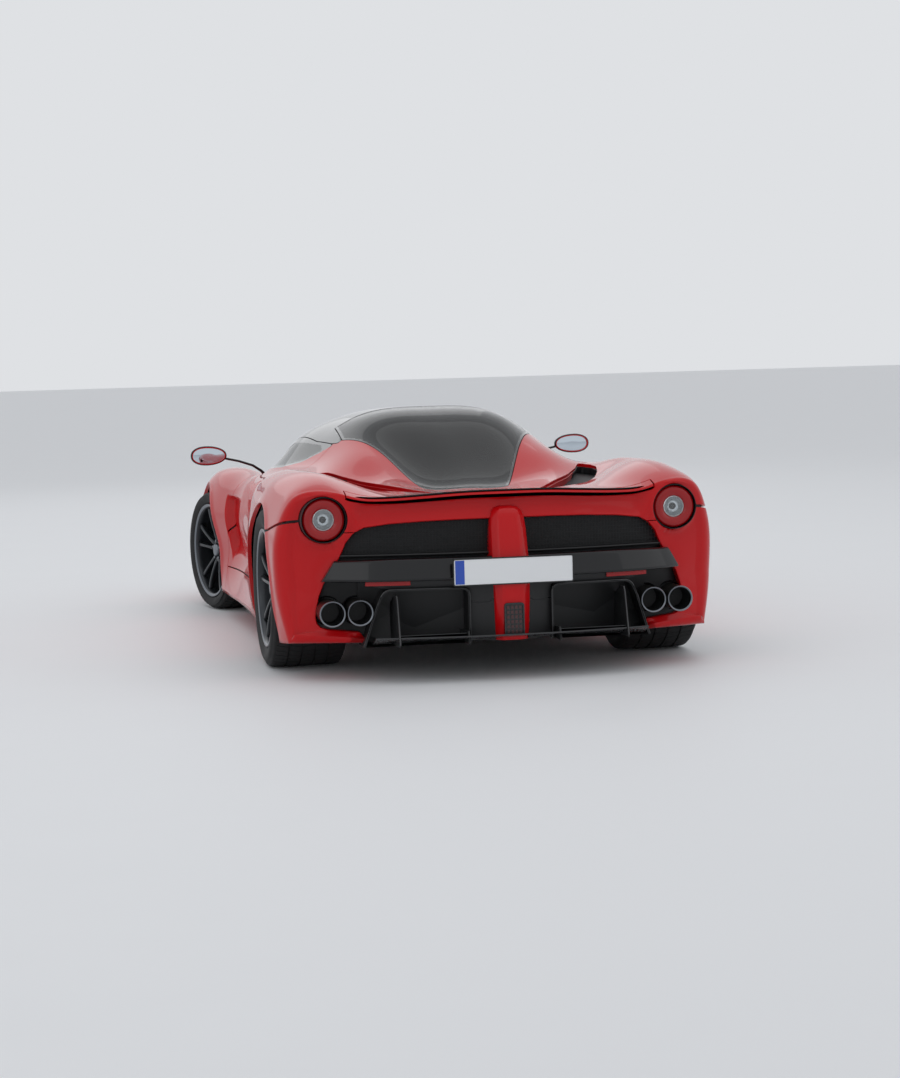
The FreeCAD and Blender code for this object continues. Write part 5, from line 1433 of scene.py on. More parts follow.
def tyre(end, side, tag):
    _, rim_radius, rim_width, radius, width, _ = WHEELS[end]
    bead, half = rim_width / 2 - 0.009, width / 2
    flange = rim_radius + 0.018
    middle = (flange + radius) / 2
    floor = radius - 0.0065
    shape = [(-bead, rim_radius + 0.001), (-bead, flange - 0.003), (-half + 0.01, flange + 0.004),
        (-half + 0.003, middle - 0.012), (-half, middle), (-half + 0.002, middle + 0.012),
        (-half + 0.007, radius - 0.022), (-half + 0.0085, radius - 0.0215), (-half + 0.013, radius - 0.011),
        (-half + 0.02, radius - 0.005), (-half + 0.03, floor)]
    shape += [(-a, r) for a, r in reversed(shape)]
    place = wheel_place(end, side)
    body = "wheel_%s_%s" % (end, tag)
    Parts().turned(shape, place, 0, 128).piece("wheel_tyre_%s_%s" % (end, tag), ["rubber"],
        ("tyre_%s_%s" % (end, tag),), smooth=50, body=body)
    blocks = Parts()
    count = sizes().tread_blocks
    pitch = TAU * radius / count / 2
    rows = 5 if end == "rear" else 4
    span = 2 * (half - 0.024)
    for row in range(rows):
        low = -span / 2 + row * span / rows + 0.004
        high = low + span / rows - 0.008
        lean = 0.006 * (1 if row < rows / 2 else -1)
        edge = 0.0028 if row in (0, rows - 1) else 0.0
        top_low = radius - (edge if row == 0 else 0)
        top_high = radius - (edge if row == rows - 1 else 0)
        reach = pitch - 0.0016
        points = []
        for a, top, slant in ((low, top_low, -lean), (high, top_high, lean)):
            for y in (-reach + slant, reach + slant):
                sink = top - sqrt(top * top - y * y)
                points += [(a, y, floor - 0.002), (a, y, top - sink)]
        blocks.add(points, [(0, 1, 3, 2), (4, 6, 7, 5), (0, 4, 5, 1), (2, 3, 7, 6), (1, 5, 7, 3), (0, 2, 6, 4)])
    ring_piece("tread_%s_%s" % (end, tag), blocks.mesh("tread", smooth=20), count, place, body, "rubber")


def caliper(end, side, tag, replaced):
    _, rim_radius, _, _, _, direction = WHEELS[end]
    low, high = DISC_MIDDLE - 0.049, DISC_MIDDLE + 0.045
    slot_low, slot_high = DISC_MIDDLE - 0.0215, DISC_MIDDLE + 0.0215
    outer = rim_radius - 0.0165
    part = Parts()
    rings = []
    for degrees, shrink in ((-29, 0.016), (-27, 0.006), (-22, 0.001), (-12, 0), (0, 0), (12, 0), (22, 0.001),
            (27, 0.006), (29, 0.016)):
        angle = radians(direction + degrees)
        section = [(low + shrink, 0.126 + shrink), (low, 0.135 + shrink), (low, outer - 0.012 - shrink),
            (low + 0.01 + shrink / 2, outer - shrink), (high - 0.014 - shrink / 2, outer - shrink),
            (high - shrink / 2, outer - 0.014 - shrink), (high - shrink / 2, 0.14 + shrink),
            (high - 0.006 - shrink / 2, 0.126 + shrink), (slot_high, 0.126 + shrink), (slot_high, 0.2005),
            (slot_low, 0.2005), (slot_low, 0.126 + shrink)]
        rings.append([(a, r * cos(angle), r * sin(angle)) for a, r in section])
    part.lofted(rings, 0, wheel_place(end, side))
    for degrees in (-18, -6, 6, 18):
        angle = radians(direction + degrees)
        spot = wheel_place(end, side) @ Matrix.Translation((high - 0.002, 0.163 * cos(angle), 0.163 * sin(angle)))
        part.turned(((0, 0.0001), (0, 0.013), (0.003, 0.012), (0.003, 0.0001)), spot, 0, 24)
    body = "upright_" + tag if end == "front" else "root"
    part.piece("caliper_%s_%s" % (end, tag), ["caliper"], replaced, bevel=0.0015, smooth=40, body=body)


def wheels():
    for end in ("front", "rear"):
        for side, tag in ((1, "left"), (-1, "right")):
            rim(end, side, tag)
            tyre(end, side, tag)
    for end, side, tag, replaced in (
            ("front", 1, "left", ("caliper_left",)), ("front", -1, "right", ("caliper_right",)),
            ("rear", 1, "left", ("rear_calipers",)), ("rear", -1, "right", ())):
        caliper(end, side, tag, replaced)


MIRROR = Vector((0.985, -0.672, 0.862))


def mirrors():
    shells, glass, rims = Parts(), Parts(), Parts()

    def oval(behind, wide, high, droop=0.0):
        points = []
        for n in range(40):
            a = n / 40 * TAU
            x = wide * copysign(abs(cos(a)) ** 0.92, cos(a))
            z = high * copysign(abs(sin(a)) ** 0.92, sin(a)) * (1 + 0.1 * cos(a)) + droop
            points.append(tuple(MIRROR + Vector((x, behind, z))))
        return points

    shells.lofted([oval(0.018, 0.087, 0.044), oval(0.0255, 0.09, 0.047), oval(0.022, 0.0945, 0.0505),
        oval(0.008, 0.0955, 0.0515), oval(-0.01, 0.09, 0.049), oval(-0.026, 0.074, 0.041), oval(-0.038, 0.05, 0.029),
        oval(-0.045, 0.02, 0.012)])
    rims.lofted([oval(0.02, 0.0875, 0.0445), oval(0.0262, 0.0885, 0.0455), oval(0.0262, 0.0845, 0.0415),
        oval(0.019, 0.084, 0.041)], 0, None, False, True)
    glass.lofted([oval(0.016, 0.0845, 0.0415), oval(0.0195, 0.0845, 0.0415), oval(0.0215, 0.06, 0.029),
        oval(0.022, 0.02, 0.01)])
    path = [(0.668, -0.757, 0.738), (0.7, -0.746, 0.77), (0.745, -0.73, 0.8), (0.82, -0.712, 0.826),
        (0.905, -0.692, 0.846), (0.955, -0.684, 0.856)]
    shells.tube(path, [0.0125, 0.01, 0.009, 0.0085, 0.0085, 0.01], 0, 12, flat=0.75)
    shells.both().piece("mirror_shells", ["black"], ("mirrors",), smooth=60)
    rims.both().piece("mirror_rims", ["paint"], smooth=60)
    glass.both().piece("mirror_glass", ["mirror"], smooth=60)


SEAT_MIDDLE = 0.345
# The seat shell's line from its front lip to its head: y, z, half width and height of the side wall
SEAT_LINE = ((-0.285, 0.3, 0.185, 0.02), (-0.25, 0.285, 0.2, 0.045), (-0.1, 0.25, 0.212, 0.07),
    (0.05, 0.222, 0.214, 0.095), (0.115, 0.235, 0.215, 0.115), (0.165, 0.3, 0.215, 0.118),
    (0.245, 0.47, 0.213, 0.105), (0.32, 0.62, 0.205, 0.075), (0.365, 0.74, 0.16, 0.035), (0.4, 0.83, 0.118, 0.022),
    (0.415, 0.905, 0.098, 0.012))
PAD_SWELL = 0.01
PAD_PRESSURE = 4.0
PAD_VOXEL = 0.006


def seat_line(reach):
    """Place, half width, wall and the normal towards the sitter at a distance along the seat's line."""
    table = np.array(SEAT_LINE)
    run = np.concatenate([[0], np.cumsum(np.hypot(*np.diff(table[:, :2], axis=0).T))])
    y, z, half, wall = (np.interp(reach, run, table[:, k]) for k in range(4))
    ahead, behind = (np.array([np.interp(reach + d, run, table[:, k]) for k in (0, 1)]) for d in (0.02, -0.02))
    way = (ahead - behind) / np.linalg.norm(ahead - behind)
    return Vector((SEAT_MIDDLE, y, z)), half, wall, Vector((0, -way[1], way[0]))


def seat_point(reach, across, over):
    place, _, _, normal = seat_line(reach)
    return place + Vector((across, 0, 0)) + normal * over


def pad_rings(start, end, half, thickness, rings=12):
    """Closed sections of a pad that lies on the seat's line, pulled in at both ends."""
    result = []
    for k in range(rings + 1):
        share = k / rings
        full = sin(pi * min(max(share, 0.02), 0.98)) ** 0.22
        outline = rounded([(-half * full, 0.004), (half * full, 0.004), (half * full, thickness * full),
            (-half * full, thickness * full)], 0.022 * full, 4)
        result.append([seat_point(start + (end - start) * share, a, n) for a, n in outline])
    return result


def filled(shape, name):
    """A pad blown up like a sewn cover round its foam, then made finer."""
    obj = linked(name, shape.mesh(name, smooth=180))
    remesh = obj.modifiers.new("cover", "REMESH")
    remesh.mode, remesh.voxel_size, remesh.use_smooth_shade = "VOXEL", PAD_VOXEL, True
    settled(obj)
    count = len(obj.data.vertices) * 3
    flat, blown = np.empty(count), np.empty(count)
    obj.data.vertices.foreach_get("co", flat)
    cloth = obj.modifiers.new("filling", "CLOTH")
    cloth.settings.use_pressure = True
    cloth.settings.uniform_pressure_force = PAD_PRESSURE
    cloth.settings.effector_weights.gravity = 0
    cloth.point_cache.frame_end = 20
    for moment in range(1, 21):
        bpy.context.scene.frame_set(moment)
    settled(obj)
    bpy.context.scene.frame_set(1)
    obj.data.vertices.foreach_get("co", blown)
    moved = (blown - flat).reshape(-1, 3)
    length = np.linalg.norm(moved, axis=1, keepdims=True)
    moved *= np.minimum(1, PAD_SWELL / np.maximum(length, 1e-6))
    obj.data.vertices.foreach_set("co", flat + moved.ravel())
    finer = obj.modifiers.new("finer", "SUBSURF")
    finer.levels = finer.render_levels = 1
    settled(obj)
    return obj


def sewn(obj, channels):
    """Presses sewn channels across a pad, at distances along the seat's line."""
    count = len(obj.data.vertices)
    points, normals = np.empty(count * 3), np.empty(count * 3)
    obj.data.vertices.foreach_get("co", points)
    obj.data.vertices.foreach_get("normal", normals)
    points, normals = points.reshape(-1, 3), normals.reshape(-1, 3)
    for reach in channels:
        place, _, _, up = seat_line(reach)
        along = np.array((0, up.z, -up.y))
        away = (points - np.array(place)) @ along
        facing = np.clip(normals @ np.array(up), 0, 1)
        points -= normals * (0.0045 * np.exp(-(away / 0.004) ** 2) * facing)[:, None]
    obj.data.vertices.foreach_set("co", points.ravel())
    obj.data.update()


def stitch_tree():
    """Short stitches laid along the edges of a line."""
    tree, given, result = node_group("stitches_along_line", Pitch="Float", Length="Float", Thread="Float",
        Finish="Material")
    line = add(tree, "GeometryNodeMeshToCurve", {"Mesh": given.outputs["Geometry"]})
    spots = add(tree, "GeometryNodeCurveToPoints", {"Curve": line.outputs[0], "Length": given.outputs["Pitch"]},
        mode="LENGTH")
    stitch = add(tree, "GeometryNodeMeshCylinder", {"Vertices": 6, "Radius": given.outputs["Thread"],
        "Depth": given.outputs["Length"]})
    copies = add(tree, "GeometryNodeInstanceOnPoints", {"Points": spots.outputs["Points"],
        "Instance": stitch.outputs["Mesh"], "Rotation": spots.outputs["Rotation"]})
    return closed_tree(tree, given, result, copies)


def stitched(name, paths, body, finish_name, pitch=0.008, length=0.005, thread=0.0008):
    """A row of stitches along each path, as one piece."""
    mesh = bpy.data.meshes.new(name)
    points, edges = [], []
    for path in paths:
        edges += [(len(points) + k, len(points) + k + 1) for k in range(len(path) - 1)]
        points += [tuple(p) for p in path]
    mesh.from_pydata(points, edges, [])
    obj = linked(name, mesh)
    grown(obj, stitch_tree, Pitch=pitch, Length=length, Thread=thread, Finish=finish(finish_name))
    obj.data.materials.clear()
    return place_piece(obj, [finish_name], body=body)


def opposite(obj, name):
    """The mirror image of an object."""
    mesh = obj.data.copy()
    mesh.transform(Matrix.Scale(-1, 4, (1, 0, 0)))
    mesh.flip_normals()
    copy = linked(name, mesh)
    return copy


def seats():
    shell = Parts()
    rings = []
    for reach in np.linspace(0.0, 1.15, 40):
        _, w, wall, _ = seat_line(reach)
        section = [(-w - 0.006, wall), (-w - 0.006, 0.0), (-w + 0.02, -0.016), (w - 0.02, -0.016), (w + 0.006, 0.0),
            (w + 0.006, wall), (w, wall), (w, 0.006), (w - 0.022, -0.01), (-w + 0.022, -0.01), (-w, 0.006),
            (-w, wall)]
        rings.append([seat_point(reach, a, n) for a, n in section])
    shell.lofted(rings)
    for x in (SEAT_MIDDLE - 0.15, SEAT_MIDDLE + 0.15):
        shell.box((x - 0.018, -0.25, 0.158), (x + 0.018, 0.2, 0.176), 1)
        shell.prism([(-0.2, 0.17), (0.17, 0.17), (0.1, 0.226), (-0.02, 0.236), (-0.16, 0.262)], x - 0.004, x + 0.004,
            "x", 1)
    shell.both().piece("seat_shells", ["carbon", "steel"], ("seats",), bevel=0.002, smooth=40)
    bolsters = Parts()
    for across in (-0.178, 0.178):
        path = [seat_point(reach, across * (1 if reach < 0.9 else 0.93), 0.058)
            for reach in (0.05, 0.1, 0.2, 0.32, 0.42, 0.5, 0.6, 0.72, 0.82, 0.87)]
        bolsters.tube(path, [0.012, 0.025, 0.029, 0.03, 0.03, 0.03, 0.03, 0.028, 0.024, 0.012], 0, 20, flat=1.25)
    pads = (("seat_cushion", Parts().lofted(pad_rings(0.025, 0.405, 0.14, 0.046)), "suede",
        (0.1, 0.175, 0.25, 0.325)), ("seat_back", Parts().lofted(pad_rings(0.455, 0.92, 0.138, 0.044)), "suede",
        (0.52, 0.585, 0.65, 0.715, 0.78, 0.845)), ("seat_head_pad",
        Parts().lofted(pad_rings(0.96, 1.135, 0.088, 0.036)), "leather", ()),
        ("seat_bolsters", bolsters, "leather", ()),)
    for name, shape, finish_name, channels in pads:
        left = filled(shape, name + "_left")
        sewn(left, channels)
        for pad in (left, opposite(left, name + "_right")):
            pad.data.materials.clear()
            place_piece(pad, [finish_name])
    rows = []
    for across in (-0.128, 0.128):
        for start, end, over in ((0.05, 0.38, 0.052), (0.48, 0.89, 0.05)):
            row = [seat_point(reach, across, over) for reach in np.linspace(start, end, 14)]
            rows += [row, [Vector((-p.x, p.y, p.z)) for p in row]]
    stitched("seat_stitching", rows, "root", "thread")


WHEEL_CENTRE = (0.345, -0.235, 0.64)
COLUMN = Vector((0, 0.92718, 0.37461))
REST_TURN = radians(168)


# Middles of the air vents, in x
VENTS = (-0.52, -0.14, 0.0, 0.14, 0.555)
# Window in the rear bulkhead, in x and z
REAR_WINDOW = [(-0.4, 0.775), (0.4, 0.775), (0.35, 0.912), (-0.35, 0.912)]


def dashboard():
    top = Parts()
    rings = []
    for x in np.linspace(-0.635, 0.635, 49):
        hood = 0.026 * exp(-((x - 0.345) / 0.12) ** 4)
        dip = 0.012 * exp(-(x / 0.16) ** 4)
        side = 0.03 * (abs(x) / 0.635) ** 6
        rings.append([(x, -0.755, 0.53), (x, -0.755, 0.69), (x, -0.66, 0.716 - side), (x, -0.55, 0.728 + hood - side),
            (x, -0.45, 0.716 + hood * 1.2 - dip - side), (x, -0.415, 0.702 + hood - dip - side),
            (x, -0.408, 0.692 + hood - dip - side), (x, -0.43, 0.68 - dip), (x, -0.432, 0.64 - dip),
            (x, -0.372, 0.622 - dip), (x, -0.362, 0.606 - dip), (x, -0.41, 0.545), (x, -0.52, 0.51)])
    top.lofted(rings)
    top.piece("dashboard_top", ["suede"], ("dashboard",), smooth=40)
    trim = Parts()
    screen = rounded([(0.225, 0.64), (0.465, 0.64), (0.465, 0.694), (0.225, 0.694)], 0.012)
    trim.prism(screen, -0.432, -0.424, "y", 1)
    strip = [(x, -0.366 + 0.004 * cos(x * 5), 0.613) for x in np.linspace(-0.6, 0.6, 40)]
    trim.tube(strip, 0.007, 0, 10)
    centre = Vector(WHEEL_CENTRE)
    trim.tube([centre - COLUMN * d for d in (0.26, 0.12, 0.06, 0.022)], [0.026, 0.026, 0.034, 0.038], 2, 24)
    for side in (1, -1):
        trim.tube([centre - COLUMN * 0.05 + Vector((side * r, 0, 0)) for r in (0.03, 0.075, 0.13)],
            [0.006, 0.007, 0.01], 2, 10)
    for x in VENTS:
        place = axis_place((x, -0.437, 0.652 - 0.012 * (abs(x) < 0.2)), (0, 1, 0.12))
        trim.turned(((0, 0.02), (0.016, 0.024), (0.026, 0.0275), (0.026, 0.0315), (0.012, 0.033), (0, 0.033)), place,
            0, 40)
        trim.turned(((0.004, 0.001), (0.012, 0.004), (0.004, 0.008)), place, 2, 16, False)
    trim.piece("dashboard_trim", ["carbon", "mirror", "plastic"], bevel=0.001)
    blades = Parts()
    for x in VENTS:
        z = 0.652 - 0.012 * (abs(x) < 0.2)
        for lift in (-0.014, -0.005, 0.005, 0.014):
            wide = sqrt(0.0275 ** 2 - lift ** 2)
            blades.box((x - wide, -0.432, z + lift), (x + wide, -0.418, z + lift + 0.0016))
    blades.piece("vent_blades", ["plastic"])
    console = Parts()
    rings = [[(a, y, b) for a, b in rounded([(-half, low), (half, low), (half * 0.86, high), (-half * 0.86, high)],
        0.022, 4)] for y, half, low, high in ((-0.46, 0.115, 0.44, 0.585), (-0.38, 0.105, 0.4, 0.56),
        (-0.28, 0.088, 0.36, 0.48), (-0.15, 0.08, 0.352, 0.425), (0.05, 0.078, 0.345, 0.405),
        (0.25, 0.08, 0.345, 0.402), (0.45, 0.085, 0.345, 0.42), (0.6, 0.092, 0.345, 0.47), (0.7, 0.1, 0.345, 0.54))]
    console.lofted(rings, 0)
    console.box((-0.03, -0.24, 0.452), (0.03, -0.17, 0.4545), 1)
    for k in range(3):
        place = axis_place((-0.018 + 0.018 * k, -0.105, 0.418), (0, 0.1, 1))
        console.turned(((0, 0.0072), (0.009, 0.0068), (0.0105, 0.0055), (0.0105, 0.0001)), place, 1, 20, False)
    console.piece("centre_console", ["leather", "plastic"], bevel=0.001, smooth=40)
    mat = rounded([(0.135, -0.7), (0.62, -0.72), (0.62, -0.33), (0.135, -0.33)], 0.03)
    Parts().prism(mat, 0.157, 0.168, "z").both().piece("floor_mats", ["carpet"], bevel=0.003)
    bulkhead = Parts()
    corners = (((-0.6, 0.36), (-0.36, 0.8)), ((0.6, 0.36), (0.36, 0.8)), ((0.565, 0.79), (0.37, 0.87)),
        ((0.395, 0.94), (0.33, 0.91)), ((-0.395, 0.94), (-0.33, 0.91)), ((-0.565, 0.79), (-0.37, 0.87)))
    outer, inner = (rounded([pair[k] for pair in corners], 0.03) for k in (0, 1))
    bulkhead.lofted([[(x, y, z) for x, z in line] for y, line in ((0.716, outer), (0.728, outer), (0.728, inner),
        (0.716, inner))], 0, None, False, True)
    bulkhead.piece("bulkhead_trim", ["suede"], bevel=0.003)
    pane = Parts().prism(rounded(REAR_WINDOW, 0.03), 0.748, 0.753)
    pane.piece("rear_window", ["side_glass"])


def cabin_tub():
    """The frame's tub with a window cut in its rear wall."""
    shape = bmesh.new()
    shape.from_mesh(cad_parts["tub"].data)
    bmesh.ops.remove_doubles(shape, verts=shape.verts, dist=1e-5)
    mesh = bpy.data.meshes.new("cabin_tub")
    shape.to_mesh(mesh)
    shape.free()
    tub = linked("cabin_tub", mesh)
    hole = linked("hole", Parts().prism(rounded(REAR_WINDOW, 0.03), 0.7, 0.8).mesh("hole"))
    cut_out = tub.modifiers.new("window", "BOOLEAN")
    cut_out.operation, cut_out.solver, cut_out.object = "DIFFERENCE", "EXACT", hole
    settled(tub)
    bpy.data.objects.remove(hole)
    tub.data.materials.clear()
    tub.data.polygons.foreach_set("use_smooth", [True] * len(tub.data.polygons))
    tub.data.set_sharp_from_angle(angle=radians(30))
    place_piece(tub, ["carbon"], ("tub",))


def steering_wheel():
    up = COLUMN.cross(Vector((1, 0, 0)))
    place = Matrix((COLUMN, (1, 0, 0), up)).transposed().to_4x4()
    place = Matrix.Translation(WHEEL_CENTRE) @ place @ Matrix.Rotation(REST_TURN, 4, "X")
    wheel = Parts()
    path = []
    for k in range(72):
        angle = k / 72 * TAU
        across, high = 0.1745 * sin(angle), 0.1745 * cos(angle)
        path.append((0.0, across, max(high, -0.142) if abs(across) < 0.105 else high))
    wheel.tube(path, 0.0152, 0, 16, place, True, 1.12)
    for turn, wide in ((96, 0.03), (-96, 0.03), (180, 0.034)):
        lean = place @ Matrix.Rotation(radians(turn), 4, "X")
        reach = 0.132 if turn == 180 else 0.162
        rings = [[(a - 0.004, b, r) for a, b in rounded([(-0.006, -w), (0.006, -w), (0.006, w), (-0.006, w)], 0.004,
            2)] for r, w in ((0.03, wide * 1.2), (0.07, wide * 0.8), (0.12, wide * 0.45), (reach, wide * 0.5))]
        wheel.lofted(rings, 1, lean)
    wheel.turned(((-0.018, 0.048), (0.006, 0.054), (0.018, 0.048), (0.023, 0.034), (0.024, 0.0001)), place, 0, 48,
        False)
    for across, high in ((-0.062, -0.03), (0.062, -0.03), (0.05, -0.055)):
        button = place @ Matrix.Translation((0.002, across, high))
        wheel.turned(((0, 0.01), (0.008, 0.0098), (0.0095, 0.008), (0.0095, 0.0001)), button, 2, 24, False)
    for side in (1, -1):
        wheel.prism([(side * 0.052, -0.01), (side * 0.12, -0.022), (side * 0.128, 0.052), (side * 0.06, 0.04)], -0.03,
            -0.027, "x", 1, place)
    wheel.piece("wheel_and_hub", ["leather", "carbon", "crackle"], ("steering_wheel",), bevel=0.0012, smooth=45,
        body="steering_wheel")
    row = [place @ Vector(p) * 1.0 for p in [(0.017, a * 0.998, h * 0.998) for _, a, h in path]
        + [(0.017, 0, 0.1742)]]
    stitched("wheel_stitching", [row], "steering_wheel", "thread")


def door_cards():
    """Inner door trim: a leather panel with a suede field and a pull."""
    f = SHELL.fields
    for side in ("left", "right"):
        body = "door_" + side
        SHELL.panel(body + "_card", [f["door"] - 0.03, belt_height(f["y"]) - 0.03 - f["z"]], 0.006,
            ["leather", "plastic"], sides=side, sink=sizes().door + 0.001, inner_finish=0, body=body)
        SHELL.panel(body + "_card_field", [f["door"] - 0.085, belt_height(f["y"]) - 0.1 - f["z"]], 0.004,
            ["suede", "plastic"], sides=side, sink=sizes().door + 0.007, inner_finish=0, body=body)
        sign = 1 if side == "left" else -1
        pull = Parts()
        path = []
        for y, z, out in ((-0.28, 0.6, 0.006), (-0.26, 0.605, 0.034), (-0.18, 0.615, 0.044), (-0.08, 0.62, 0.044),
                (0.0, 0.615, 0.034), (0.02, 0.61, 0.006)):
            point, normal = surface_at(y, z, "flank")
            path.append(point - normal * (sizes().door + 0.008 + out))
        pull.tube([(sign * p.x, p.y, p.z) for p in path], 0.008, 0, 12)
        pull.piece(body + "_pull", ["leather"], smooth=60, body=body)


def top_point(x, y, sink=0.0):
    """A place under the shell's upper side."""
    point, normal = surface_at(x, y, "top")
    return point - normal * sink


# The slot's walls are black ahead of this, as painted shade of its deep front, and in body paint behind it
SLOT_MOUTH = 1.2


def ducts():
    """Walls and beds behind the openings, so that each reads as a deep duct. The beds are black; in the slot the
    black bed and the black walls of its mouth are painted shade of its depth.
    """
    f = SHELL.fields
    skin = sizes().skin
    rear_part = f["y"] - SLOT_MOUTH
    for name, part, depth, finish_name in (("slot_mouth", -rear_part, 0.034, "plastic"),
            ("slot", rear_part, 0.034, "paint"), ("scoop", f["scoop"] + 1, 0.085, "plastic"),
            ("side_intake", f["side_intake"] + 1, 0.06, "plastic")):
        region = f[name.replace("_mouth", "")]
        SHELL.panel(name + "_duct", [region + 0.014, -region, part], depth, [finish_name],
            sink=skin - 0.002)
    # Black beds; the slot's black bed is painted shade of its depth
    for name, depth in (("slot", 0.034), ("scoop", 0.085), ("side_intake", 0.06)):
        SHELL.panel(name + "_bed", [f[name] + 0.014], 0.003, ["plastic"], sink=skin + depth - 0.004)


def headlamps():
    f = SHELL.fields
    gap = sizes().shut_line / 2
    SHELL.panel("headlamp_lenses", [f["headlamp"] - gap], 0.004, ["clear_lens"], ("headlamps",), inner_finish=0)
    SHELL.panel("headlamp_walls", [f["headlamp"] - gap, 0.01 - f["headlamp"]], 0.05, ["trim"], sink=0.0045)
    SHELL.panel("headlamp_beds", [f["headlamp"] - gap], 0.003, ["trim"], sink=0.05)
    lamps, guides = Parts(), Parts()
    for x, y, size in ((0.592, -1.995, 0.024), (0.648, -1.925, 0.026), (0.7, -1.845, 0.024), (0.742, -1.752, 0.018)):
        place = axis_place(top_point(x, y, 0.04), (0.1, -1, 0.42))
        lamps.turned(((-0.012, size * 0.5), (0.0, size), (0.018, size * 1.08), (0.022, size * 1.02),
            (0.016, size * 0.9), (-0.004, size * 0.55)), place, 0, 40)
        lamps.turned(((0.004, size * 0.78), (0.012, size * 0.66), (0.017, size * 0.4), (0.0185, 0.0001)), place, 1,
            32, False)
    guide = [top_point(x, y, 0.014) for x, y in ((0.578, -2.03), (0.64, -2.004), (0.692, -1.976), (0.722, -1.88),
        (0.75, -1.79), (0.774, -1.705), (0.766, -1.668))]
    guides.tube(guide, 0.0045, 0, 10)
    lamps.both().piece("headlamp_projectors", ["mirror", "clear_lens"], smooth=50)
    guides.both().piece("headlamp_light_guides", ["plate"], smooth=60)


def bent_grille(name, outline, bend, replaced=(), mirrored=False):
    """Woven mesh cut to an outline in x and z, and bent so that bend gives its y."""
    xs, zs = [p[0] for p in outline], [p[1] for p in outline]
    obj = Parts().box((0, 0, 0), (0.01, 0.01, 0.01)).piece(name, ["wire"], replaced)
    grown(obj, grid_tree, Width=max(xs) - min(xs) + 0.02, Height=max(zs) - min(zs) + 0.02, Pitch=sizes().mesh_pitch,
        Wire=0.0017, Finish=finish("wire"))
    shape = bmesh.new()
    shape.from_mesh(obj.data)
    bmesh.ops.rotate(shape, verts=shape.verts, cent=(0, 0, 0), matrix=Matrix.Rotation(radians(90), 3, "X"))
    bmesh.ops.translate(shape, verts=shape.verts, vec=((max(xs) + min(xs)) / 2, 0, (max(zs) + min(zs)) / 2))
    for (x0, z0), (x1, z1) in zip(outline, outline[1:] + outline[:1]):
        bmesh.ops.bisect_plane(shape, geom=shape.verts[:] + shape.edges[:] + shape.faces[:], plane_co=(x0, 0, z0),
            plane_no=(z1 - z0, 0, x0 - x1), clear_outer=True)
    for vert in shape.verts:
        vert.co.y += bend(vert.co.x, vert.co.z)
    if mirrored:
        twin = bmesh.ops.duplicate(shape, geom=shape.verts[:] + shape.edges[:] + shape.faces[:])["geom"]
        for part in twin:
            if isinstance(part, bmesh.types.BMVert):
                part.co.x *= -1
        bmesh.ops.reverse_faces(shape, faces=[part for part in twin if isinstance(part, bmesh.types.BMFace)])
    shape.to_mesh(obj.data)
    shape.free()
    return obj


def nose_line():
    """Plan curve of the nose at the height of the intakes."""
    places = np.linspace(0, 0.72, 10)
    ys = [surface_at(x, 0.25, "nose")[0].y for x in places]
    return lambda x, z: float(np.interp(abs(x), places, ys))


def front_intakes():
    line = nose_line()
    bent_grille("middle_intake_mesh", ((-0.155, 0.184), (0.155, 0.184), (0.146, 0.296), (-0.146, 0.296)), lambda x,
        z: line(x, z) + 0.045)
    bent_grille("side_intake_meshes", ((0.225, 0.184), (0.645, 0.184), (0.71, 0.304), (0.562, 0.341), (0.244, 0.306)),
        lambda x, z: line(x, z) + 0.05, mirrored=True)
    # Black sheet behind the intake meshes: painted shade of the ducts behind them
    sheet = Parts()
    rings = []
    for x in np.linspace(-0.7, 0.7, 15):
        y = line(x, 0) + 0.085
        rings.append([(x, y, 0.17), (x, y, 0.345), (x, y + 0.004, 0.345), (x, y + 0.004, 0.17)])
    sheet.lofted(rings).piece("intake_shade_sheet", ["plastic"])
    lip = Parts()
    rings = []
    for x in (-0.15, -0.138, -0.09, 0, 0.09, 0.138, 0.15):
        y = NOSE_Y + 0.003 + 0.6 * max(0, abs(x) - 0.09) ** 2 / 0.06
        rings.append([(x, y, 0.166), (x, y, 0.188), (x, y + 0.004, 0.195), (x, y + 0.012, 0.198),
            (x, y + 0.05, 0.196), (x, y + 0.05, 0.158), (x, y + 0.01, 0.158)])
    lip.lofted(rings).piece("nose_lip", ["paint"], bevel=0.002)
    vanes = Parts()
    for z in (0.225, 0.262):
        rings = []
        for x in np.linspace(0.24, 0.66, 9):
            y = line(x, z) + 0.02
            rings.append([(x, y, z), (x, y + 0.03, z + 0.004), (x, y + 0.03, z + 0.008), (x, y, z + 0.003)])
        vanes.lofted(rings)
    vanes.both().piece("intake_vanes", ["carbon"], bevel=0.0008)


def wiper():
    arm = Parts()
    spine = [(-0.02, -0.872), (0.1, -0.85), (0.22, -0.822), (0.34, -0.78), (0.42, -0.735)]
    arm.tube([top_point(x, y, -0.012) for x, y in spine], [0.008, 0.007, 0.006, 0.005, 0.004], 0, 10, flat=0.7)
    arm.tube([top_point(x, y, -0.005) for x, y in ((0.02, -0.846), (0.16, -0.828), (0.3, -0.785), (0.44, -0.705),
        (0.5, -0.64))], 0.0045, 1, 8)
    arm.turned(((-0.01, 0.016), (0.012, 0.015), (0.017, 0.009), (0.017, 0.0001)),
        axis_place(top_point(-0.02, -0.872), (0, -0.3, 1)), 0, 24, False)
    arm.piece("wiper", ["trim", "rubber"], smooth=60)


def line_tree():
    """Copies of a piece set out in a straight row."""
    tree, given, result = node_group("copies_in_row", Count="Int", Step="Vector", Finish="Material")
    row = add(tree, "GeometryNodeMeshLine", {"Count": given.outputs["Count"], "Offset": given.outputs["Step"]})
    copies = add(tree, "GeometryNodeInstanceOnPoints", {"Points": row.outputs[0],
        "Instance": given.outputs["Geometry"]})
    return closed_tree(tree, given, result, copies)


